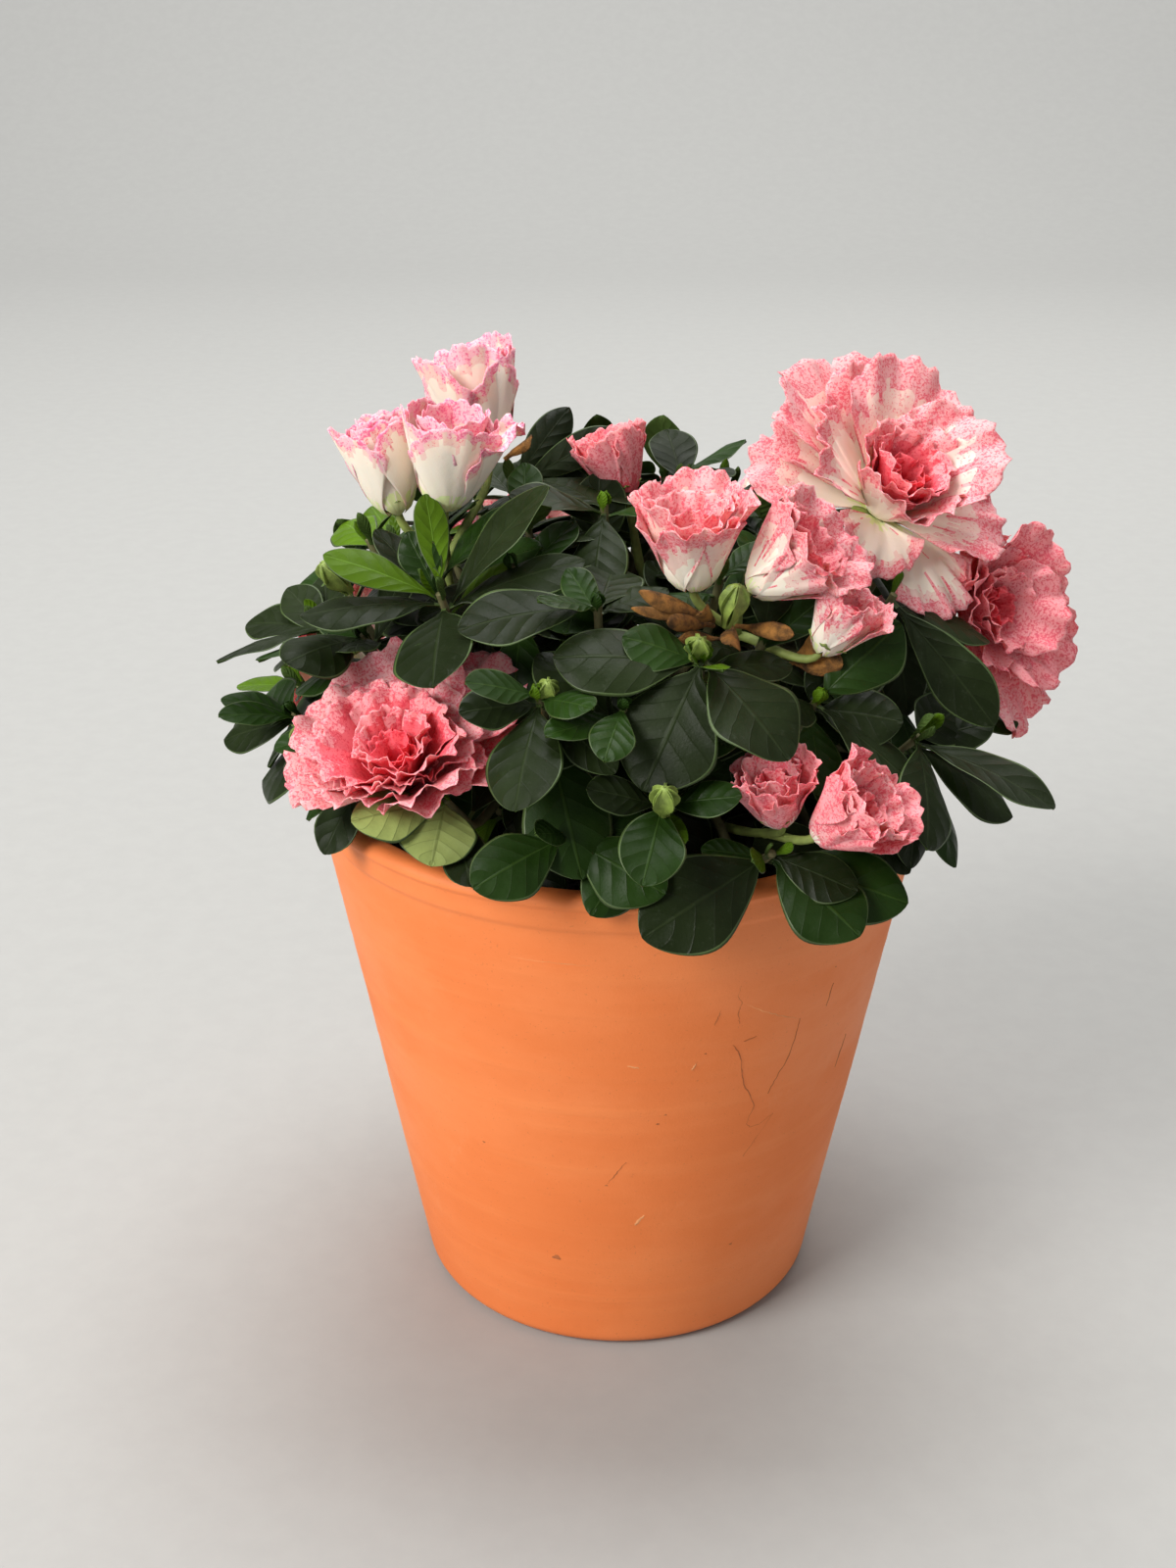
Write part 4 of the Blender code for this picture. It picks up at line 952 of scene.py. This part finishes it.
# the leaves that shape the front: bearing and rise, length and width, tone; two more numbers are the bearing
# and rise that the upper side looks to
placedLeaves = {
    "A": ((-172, 62, 24, 8, "young", 20, 20), (-84, 30, 27, 9, "young", -30, 55),
          (-110, 62, 17, 9, "mid", 0, 30), (-77, 10, 31, 14, "dark"), (-5, -9, 26, 20, "dark"),
          (94, 30, 32, 15, "dark"), (104, 60, 35, 14, "dark"), (-120, 46, 26, 8, "dark"),
          (120, 45, 18, 6, "young"), (-30, 5, 14, 8, "mid")),
    "B": ((-76, 9, 27.5, 12, "dark"), (-114, 6, 23, 12, "dark"), (-20, 14, 25, 14, "dark"),
          (-129, 34, 18, 10, "dark"), (-160, 40, 20, 12, "dark"), (-45, 15, 22, 11, "mid")),
    "C": ((-139, -2, 22, 16, "mid", -20, 50), (-122, -11, 25, 12, "dark", -20, 50),
          (-60, 22, 19, 8, "mid", -20, 60), (-101, -10, 22, 12, "dark", -20, 60), (-5, -15, 18, 12, "dark"),
          (-80, 30, 20, 10, "mid")),
    "D": ((-32, 14, 24, 15, "dark", -10, 50), (-2, 24, 18, 10, "dark", -10, 50), (-130, 20, 16, 10, "mid")),
    "L": ((-10, -30, 15, 17, "pale", 0, 40), (-60, 8, 21, 13, "pale", -10, 50), (-70, -6, 18, 9, "dark"),
          (-123, 8, 22, 11, "dark", -30, 60)),
    "M": ((-48, -4, 24, 15, "mid"), (-18, 35, 15, 7, "mid"), (-130, -10, 24, 13, "dark"),
          (55, -10, 24, 16, "mid"), (160, 30, 14, 8, "mid"), (95, 15, 19, 8, "mid")),
    "N": ((-10, -15, 22, 14, "mid"), (-145, 0, 16, 9, "mid"), (140, 10, 26, 12, "mid"),
          (60, 25, 18, 9, "mid"), (-60, 30, 18, 9, "dark")),
    "P": ((-50, -40, 32, 24, "dark"), (45, -22, 28, 22, "dark"), (-92, 27, 17.5, 12, "mid"),
          (-84, 14, 31, 19, "dark"), (20, 30, 12, 6, "young"), (110, 5, 22, 10, "dark"),
          (-10, 60, 10, 5, "young")),
    "Q": ((-75, 5, 30, 17, "dark"), (-50, 30, 16, 8, "mid"), (170, 20, 22, 15, "dark"),
          (120, 20, 18, 10, "dark"), (-140, 45, 14, 8, "mid")),
    "S": ((-60, 30, 17, 10, "mid"), (40, 20, 16, 10, "mid"), (-12, -22, 27, 17, "dark"),
          (50, -20, 22, 10, "dark"), (-62, 14, 18, 11, "dark")),
    "T": ((-140, 15, 24, 15, "dark"), (-7, -23, 24, 14, "dark"), (-80, 25, 22, 12, "dark"),
          (90, 20, 22, 12, "mid")),
    "U": ((120, 50, 24, 9, "dark", 0, 30), (85, 34, 28, 9, "dark", 0, 30), (160, 40, 16, 10, "dark"),
          (0, 20, 18, 12, "dark"), (-150, 20, 22, 12, "dark")),
    "X": ((-170, 40, 20, 12, "dark"), (145, 15, 20, 11, "dark"), (35, 50, 14, 10, "young"),
          (-60, 20, 22, 12, "dark"), (60, 10, 22, 12, "mid")),
    "R": ((5, -10, 34, 15, "dark"), (125, 22, 17, 15, "dark", 0, 40), (65, -5, 34, 14, "dark"),
          (85, -25, 30, 14, "dark"), (45, -45, 29, 12, "mid"), (15, -50, 27, 14, "dark"),
          (100, 20, 22, 11, "dark")),
    "W": ((22, -64, 27, 11, "dark", 0, 20), (47, -33, 36, 13, "dark", 10, 20), (-30, -35, 26, 15, "mid"),
          (95, -10, 26, 12, "dark"), (80, -40, 28, 12, "dark", 30, 20)),
    "Y": ((73, 53, 26, 17, "mid", -20, 10), (59, -22, 37, 16, "dark"), (-20, 20, 16, 9, "dark"),
          (-80, 10, 18, 11, "dark"), (74, 4, 20, 14, "dark", 30, 40), (10, -30, 20, 12, "mid")),
    "V": ((-58, -18, 34, 21, "dark"), (62, -4, 20, 12, "dark"), (48, -15, 26, 18, "mid"),
          (-125, -15, 22, 10, "dark"), (-85, 15, 14, 6, "mid"), (-5, 30, 12, 6, "young"),
          (72, -4, 32, 17, "mid")),
}
# leaves beside a shoot that close the crown's top: root, tip, width, bearing and rise that they look to
uprightLeaves = (((-5, -14, 193), (-5.2, -6, 212), 13, (0, 20)), ((-26, 6, 200), (-8, 6, 207), 11, (0, 40)),
                 ((14, 6, 196), (-4, 8, 200), 11, (0, 30)))
# how a whorl's free leaves grow, where the shoots that fill the dome end, and the small turns and lifts that
# a leaf tries, in this order, to find room
whorlForm = dict(leaves=7, length=(24, 32), width=(0.46, 0.60), spots=640, lowest=-0.20, spacing=17.5,
                 bloomSpacing=13.0, run=13.0, bare=0.8, layers=(1.0, 0.66), clear=0.35, bend=24,
                 outward=0.62, upward=0.55,
                 turns=(0, 6, -6, 12, -12, 20, -20, 32, -32), lifts=(0, 4, 8, -5, 10, -9, 14, 20, -14))


def shootAxis(tip):  # shoots lean outward and rise
    out = Vector([(tip[i] - domeCentre[i]) / domeRadii[i] for i in range(3)]).normalized()
    return (out * whorlForm["outward"] + Vector((0.0, 0.0, whorlForm["upward"]))).normalized()


def inCrown(solid):  # inside the outline that the crown keeps to
    array = np.array(solid.corners)
    if array[:, 2].min() < crownFloor:
        return False
    return bool((((array - np.array(domeCentre)) / np.array(crownRadii)) ** 2).sum(1).max() <= 1)


def spiralTips(taken, blooms):
    # golden-angle spiral over the dome and a smaller one inside it, clear of the tips and blooms there are
    f = whorlForm
    found = []
    for layer in f["layers"]:
        for n in range(f["spots"]):
            up = f["lowest"] + (1 - f["lowest"]) * (n + 0.5) / f["spots"]
            level = math.sqrt(1 - up * up) * layer
            turn = math.radians(goldenAngle * n)
            x, y = domeRadii[0] * level * math.sin(turn), -domeRadii[1] * level * math.cos(turn)
            spot = domeCentre + Vector((x, y, domeRadii[2] * up * layer))
            room = f["spacing"] * mm / math.sqrt(layer)
            if all((spot - tip).length > room for tip in taken + found):
                if all((spot - middle).length > f["bloomSpacing"] * mm for middle in blooms):
                    found.append(spot)
    return found


def tryLeaf(heap, root, bearing, rise, length, width, tone, axis, bend, own, level=None, toward=()):
    # a placed leaf's bearing and rise are in the world, and it stands whatever happens; a free one has level,
    # the whorl's two cross vectors, to go round its axis, and is left out where it finds no room. The upper
    # side looks along the axis, or toward a bearing of its own
    look = bearingVector(*toward) if toward else axis
    f = whorlForm
    tries = list(zip(f["turns"], f["lifts"]))
    for attempt, (shift, lift) in enumerate(tries):
        last = not level and attempt == len(tries) - 1
        if last:
            attempt, shift, lift = 0, 0, 0
        size = length * (1 - 0.02 * attempt)
        if level:
            flat = around(*level, math.radians(bearing + shift * 2))
            ahead = flat * math.cos(math.radians(rise + lift)) + axis * math.sin(math.radians(rise + lift))
        else:
            ahead = bearingVector(bearing + shift, rise + lift)
        face = squareTo(ahead, look)
        solid = slimLeaf(root, ahead, face, size * mm, width * mm * size / length, bend, f["clear"] * mm)
        if standing.free(solid, own) and inCrown(solid) or last:
            standing.add("leaf", slimLeaf(root, ahead, face, size * mm, width * mm * size / length, bend))
            twist = chance.uniform(-6, 6) if toward else chance.uniform(-16, 16)
            rows = 15 if level else 24
            addLeaf(heap, root, ahead, face, size, width * size / length, tone, bend, twist, rows=rows)
            return


def addWhorl(heap, tip, twig, letter, count):
    f = whorlForm
    axis = shootAxis(tip)
    side, up = across(axis)
    for n, (bearing, rise, length, width, tone, *toward) in enumerate(placedLeaves.get(letter, ())):
        root = tip - axis * (f["bare"] + 0.7 * n) * mm
        tryLeaf(heap, root, bearing, rise, length, width, tones[tone], axis, f["bend"], (twig,), None, toward)
    start = chance.uniform(0, 360)
    longest = chance.uniform(*f["length"])
    vigour = chance.random()
    for n in range(count):
        share = n / max(count - 1, 1)
        root = tip - axis * (f["bare"] + (f["run"] - 2 * f["bare"]) * (1 - share)) * mm
        length = longest * (1.0 - 0.36 * share) * chance.uniform(0.9, 1.1)
        rise = -8 + 50 * share + chance.uniform(-9, 9)
        tone = tones["dark" if chance.random() < 0.66 - 0.3 * share else "mid"]
        if vigour < 0.22 and share > 0.6:
            tone = tones["young"]
        turn = start + goldenAngle * n
        width = length * chance.uniform(*f["width"])
        bend = chance.uniform(10, 38)
        tryLeaf(heap, root, turn, rise, length, width, tone, axis, bend, (twig,), (side, up))
    if vigour < 0.5:
        addBud(heap, tip, axis, twig)
    else:
        tone = tones["young" if vigour > 0.8 else "mid"]
        addFlowerBud(heap, tip - axis * 0.0012, axis, 4.2, 2.2, tone, 3, 7)


def addBud(heap, tip, axis, twig):
    # small young leaves folded upright over the shoot's tip
    side, up = across(axis)
    for k in range(chance.choice((2, 3, 4))):
        flat = around(side, up, 2.4 * k + chance.random())
        ahead = (axis + flat * chance.uniform(0.12, 0.45)).normalized()
        face = (flat * -1 + axis * 0.4).normalized()
        length = chance.uniform(5, 9)
        root = tip - axis * 0.0012 + flat * 0.0005
        slim = slimLeaf(root + ahead * 0.0015, ahead, face, length * mm, length * 0.4 * mm, -12)
        if standing.free(slim, (twig,)):
            addLeaf(heap, root, ahead, face, length, length * 0.36, tones["young"], -12, 0, 0.5, rows=9)


def addFlowerBud(heap, foot, axis, length, width, finish, scales=5, rows=12):
    # scales laid round one another, closed over the top
    side, up = across(axis)
    for k in range(scales):
        out = around(side, up, math.radians(goldenAngle * k))
        lean = (axis + out * 0.30).normalized()
        root = foot + out * width * 0.10 * mm
        inward = squareTo(lean, -out)
        addLeaf(heap, root, lean, inward, length, width * 1.15, finish, -40, 0, 0.7, True, rows)


# the plant: stem, trusses, boughs, then shoots and their leaves
wood = Heap("stem_and_boughs")
stalks = Heap("flower_stalks")
twigs = Heap("twigs")
makeStem(wood)
# plain solids for the pot's lip and for the peat: radius and height round the lip
rimLine = ((67.5, 112), (69.5, 138.4), (75.9, 138.4), (72.5, 118), (67.0, 90))
rimRing = [bearingVector(b) * r * mm + Vector((0, 0, z * mm)) for r, z in rimLine for b in range(0, 360, 10)]
standing.add("pot", Solid(rimRing, gridFaces(len(rimLine), 36, closed=True).tolist()))
level = place(0, 0, 121.4)
standing.add("peat", Solid([level + bearingVector(b) * 0.066 for b in range(0, 360, 20)], [tuple(range(18))]))

bloomList = []
for name, (fork, blooms) in trusses.items():
    fork = place(*fork)
    feet = [place(*row[1:4]) for row in blooms]
    rise = (sum(feet, Vector()) / len(feet) - fork).normalized()
    track, slim = limbFromStem(fork, rise, *limbForm["truss"])
    tube(stalks, track, *limbForm["truss"], 12, 0.12)
    standing.add(name, slim)
    for row, foot in zip(blooms, feet):
        axis = bearingVector(row[4], row[5])
        run = curvePoints(fork - rise * 0.0015, rise, foot, axis, 12) + [foot + axis * 0.002]
        tube(stalks, run, *limbForm["stalk"], 12, 0.10)
        standing.add(name, slimTube(run[::4], *limbForm["stalk"], 4))
        standing.add(name, bloomSolid(row[0], foot, axis, row[6]))
        for petal in ownPetals.get(row[0], ()):
            standing.add(name, petalSolid(foot, bearingVector(petal[0], petal[1]), petal[2], row[6]))
        bloomList.append((name, row, foot, axis))

shoots = {name: [(letter, place(*tip)) for letter, *tip in rows] for name, rows in masses.items()}
forks, whorls = {}, []
for name, rows in shoots.items():
    middle = sum((tip for _, tip in rows), Vector()) / len(rows)
    entry = heart.lerp(middle, limbForm["boughReach"])
    arrive = (middle - entry).normalized()
    track, slim = limbFromStem(entry, arrive, *limbForm["bough"])
    tube(wood, track, *limbForm["bough"], 20, 0.20)
    standing.add(name, slim)
    foot = entry + arrive * limbForm["gap"] * mm
    end = foot + arrive * limbForm["massStem"] * mm
    forks[name] = (end, arrive)
    massStem = [foot.lerp(end, i / 6) for i in range(7)]
    tube(twigs, massStem, limbForm["bough"][1], limbForm["twig"][0], 12, 0.12)

bloomMiddles = [foot + axis * 0.010 for _, _, foot, axis in bloomList]
taken = [tip for rows in shoots.values() for _, tip in rows]
fillers = {name: [] for name in shoots}
for spot in spiralTips(taken, bloomMiddles):
    nearest = min(shoots, key=lambda name: (shoots[name][0][1] - spot).length)
    fillers[nearest].append(("", spot))
for rowsOf in (shoots, fillers):
    for name, rows in rowsOf.items():
        for n, (letter, tip) in enumerate(rows):
            end, arrive = forks[name]
            start = end - arrive * (limbForm["massStem"] * mm * 0.8 * ((n * 0.382) % 1))
            axis = shootAxis(tip)
            track = curvePoints(start, arrive, tip - axis * whorlForm["run"] * mm, axis, 10) + [tip]
            slim = slimTube([track[0], track[4], track[9], track[10]], 0.0010, 0.0008, 3)
            if rowsOf is fillers and not standing.free(slim, (name,)):
                continue
            tube(twigs, track, *limbForm["twig"], 10, 0.14)
            standing.add(name, slim)
            whorls.append((name, letter, tip, slim))


def leavesOf(mass):  # the piece that has a mass's leaves
    side = mass.split("_")[1]
    return "leaves_" + (side if side in ("left", "right", "back") else "front")


heaps = {leavesOf(name): Heap(leavesOf(name)) for name in masses}
for name, letter, tip, twig in sorted(whorls, key=lambda row: row[1] == ""):
    placed = len(placedLeaves.get(letter, ()))
    addWhorl(heaps[leavesOf(name)], tip, twig, letter, max(2, whorlForm["leaves"] - placed))
for root, tip, width, look in uprightLeaves:
    way = place(*tip) - place(*root)
    ahead, length = way.normalized(), way.length / mm
    face = squareTo(ahead, bearingVector(*look))
    addLeaf(heaps["leaves_front"], place(*root), ahead, face, length, width, tones["dark"], 14, rows=24)
print(f"{len(whorls)} whorls, {standing.owners.count('leaf') + len(uprightLeaves)} leaves")

wood.finish([barkFinish], "bark", ["stem"] + [name.replace("foliage", "bough") for name in masses])
twigs.finish([twigFinish], "bark")
for piece, heap in heaps.items():
    heap.finish(leafFinishes, "leaf", [name for name in masses if leavesOf(name) == piece])

# dry scales: root, tip, width, the bearing they look to; flower buds: foot, tip, width
paperyScales = (((20, -46, 190), (6, -57, 200), 4, -20), ((20, -46, 190), (4, -56, 197), 3, 20),
                ((20, -46, 189), (12, -59, 195), 4, 0), ((20, -46, 190), (19, -60, 197), 4, 30),
                ((24, -46, 189), (34, -57, 192), 4, 10), ((24, -44, 188), (25, -60, 192), 5, 30),
                ((22, -46, 186), (13, -58, 190), 4, -10), ((36, -44, 181), (42, -53, 186), 7, 20),
                ((36, -44, 180), (46, -51, 184), 6, 50), ((-27, -2, 213), (-21, -3, 219), 3.5, 20),
                ((-43, -19, 196), (-44, -23, 206), 2.5, 0))
flowerBuds = (((22, -52, 191), (24, -54, 200), 3.8), ((15, -61, 187), (16, -64, 192), 3.5),
              ((9, -75, 158), (9, -78, 165), 4), ((-15, -62, 178), (-15, -65, 183), 3),
              ((-66, -46, 160), (-69, -51, 167), 4.5), ((-60, -28, 190), (-65, -31, 197), 4.5))

budMark, scaleMark = 1, 2  # places in the stalks' list of finishes
# sepals hold a cup from below and lie back under a bloom that opens wide
sepalForm = dict(count=5, off=0.9, length=5.5, width=3.2, cup=dict(spread=0.7, size=1.0, bend=-25),
                 open=dict(spread=9.0, size=1.4, bend=10))
chance.seed(5)
petalHeaps = {name: Heap(name) for name in ("petals_left", "petals_right", "petals_back")}
sides = {}
for name, row, foot, axis in bloomList:
    sides[name] = "petals_back" if "back" in name else "petals_left" if foot.x < 0.02 else "petals_right"
    addBloom(petalHeaps[sides[name]], row[0], foot, axis, row[6])
    side, up = across(axis)
    f = sepalForm
    hold = f["open" if wideOpen(row[0]) else "cup"]
    length, width = f["length"] * hold["size"], f["width"] * hold["size"]
    for k in range(f["count"]):
        out = around(side, up, 2 * math.pi * k / f["count"])
        ahead = (axis + out * hold["spread"]).normalized()
        root, face = foot + out * (f["off"] * mm), squareTo(ahead, -axis)
        addLeaf(stalks, root, ahead, face, length, width, budMark, hold["bend"], plain=True, rows=9)
for root, tip, width, turn in paperyScales:
    way = place(*tip) - place(*root)
    ahead, length = way.normalized(), way.length / mm
    face = squareTo(ahead, bearingVector(turn, 30))
    twist = chance.uniform(-90, 90)
    addLeaf(stalks, place(*root), ahead, face, length, width, scaleMark, 22, twist, 0.8, True, 14)
for foot, tip, width in flowerBuds:
    way = place(*tip) - place(*foot)
    addFlowerBud(stalks, place(*foot), way.normalized(), way.length / mm * 1.1, width, budMark)
stalks.finish([stalkFinish, budFinish, papery], "leaf")
for piece, heap in petalHeaps.items():
    heap.finish(petalFinishes, "petal", [name for name in sides if sides[name] == piece])

# floor and backdrop, in metres
stageForm = dict(width=24.0, front=-12.0, back=1.5, height=3.5, bend=0.8, steps=24)


def makeStage():
    f = stageForm
    track = [(f["front"], 0.0), (f["back"], 0.0)]
    for i in range(1, f["steps"] + 1):
        a = math.pi / 2 * i / f["steps"]
        track.append((f["back"] + f["bend"] * math.sin(a), f["bend"] * (1 - math.cos(a))))
    track.append((f["back"] + f["bend"], f["height"]))
    corners = [(x, y, z) for y, z in track for x in (-f["width"] / 2, f["width"] / 2)]
    mesh = bpy.data.meshes.new("floor_and_backdrop")
    mesh.from_pydata(corners, [], [(2 * i, 2 * i + 1, 2 * i + 3, 2 * i + 2) for i in range(len(track) - 1)])
    mesh.polygons.foreach_set("use_smooth", np.full(len(mesh.polygons), True))
    mesh.materials.append(plainFinish("stage_paper", (0.35, 0.35, 0.34), 0.95, shade=0.02))
    piece = bpy.data.objects.new("floor_and_backdrop", mesh)
    bpy.context.scene.collection.objects.link(piece)


def makeLight(name, spot, size, power, colour, target=(0, 0, 0.14)):
    lamp = bpy.data.lights.new(name, "AREA")
    lamp.size, lamp.energy, lamp.color = size, power, colour
    piece = bpy.data.objects.new(name, lamp)
    piece.location = spot
    piece.rotation_euler = (Vector(target) - Vector(spot)).to_track_quat("-Z", "Y").to_euler()
    bpy.context.scene.collection.objects.link(piece)


# lamps: place, width, watts, colour, and where it points if that isn't the plant's middle
lamps = {
    "window": ((-0.95, -0.80, 0.95), 0.7, 24.2, (1.0, 0.98, 0.95)),
    "fill": ((1.2, -0.6, 0.7), 1.2, 0.8, (0.93, 0.96, 1.0)),
    "back_glow": ((0.3, 1.0, 1.2), 0.9, 6.0, (1.0, 0.99, 0.96)),
    "wall_wash": ((0.0, 0.6, 2.6), 1.6, 84.0, (1.0, 1.0, 1.0), (0.0, 2.3, 0.4)),
}
skyForm = dict(colour=(1.0, 0.985, 0.96, 1.0), strength=0.42)

makeStage()
for name, row in lamps.items():
    makeLight(name, *row)
world = bpy.data.worlds.new("studio")
world.use_nodes = True
sky = world.node_tree.nodes["Background"].inputs
sky[0].default_value, sky[1].default_value = skyForm["colour"], skyForm["strength"]
bpy.context.scene.world = world

cameraForm = dict(spot=(0.0, -0.4396, 0.3283), look=(-0.01640, 0.91240, -0.40897), lens=45.0, sensor=36.0,
                  nearest=0.01)
lens = bpy.data.cameras.new("camera")
lens.lens, lens.sensor_width = cameraForm["lens"], cameraForm["sensor"]
lens.clip_start = cameraForm["nearest"]
camera = bpy.data.objects.new("camera", lens)
camera.location = cameraForm["spot"]
camera.rotation_euler = Vector(cameraForm["look"]).to_track_quat("-Z", "Y").to_euler()
bpy.context.scene.collection.objects.link(camera)
bpy.context.scene.camera = camera
bpy.context.scene.view_settings.view_transform = "Standard"
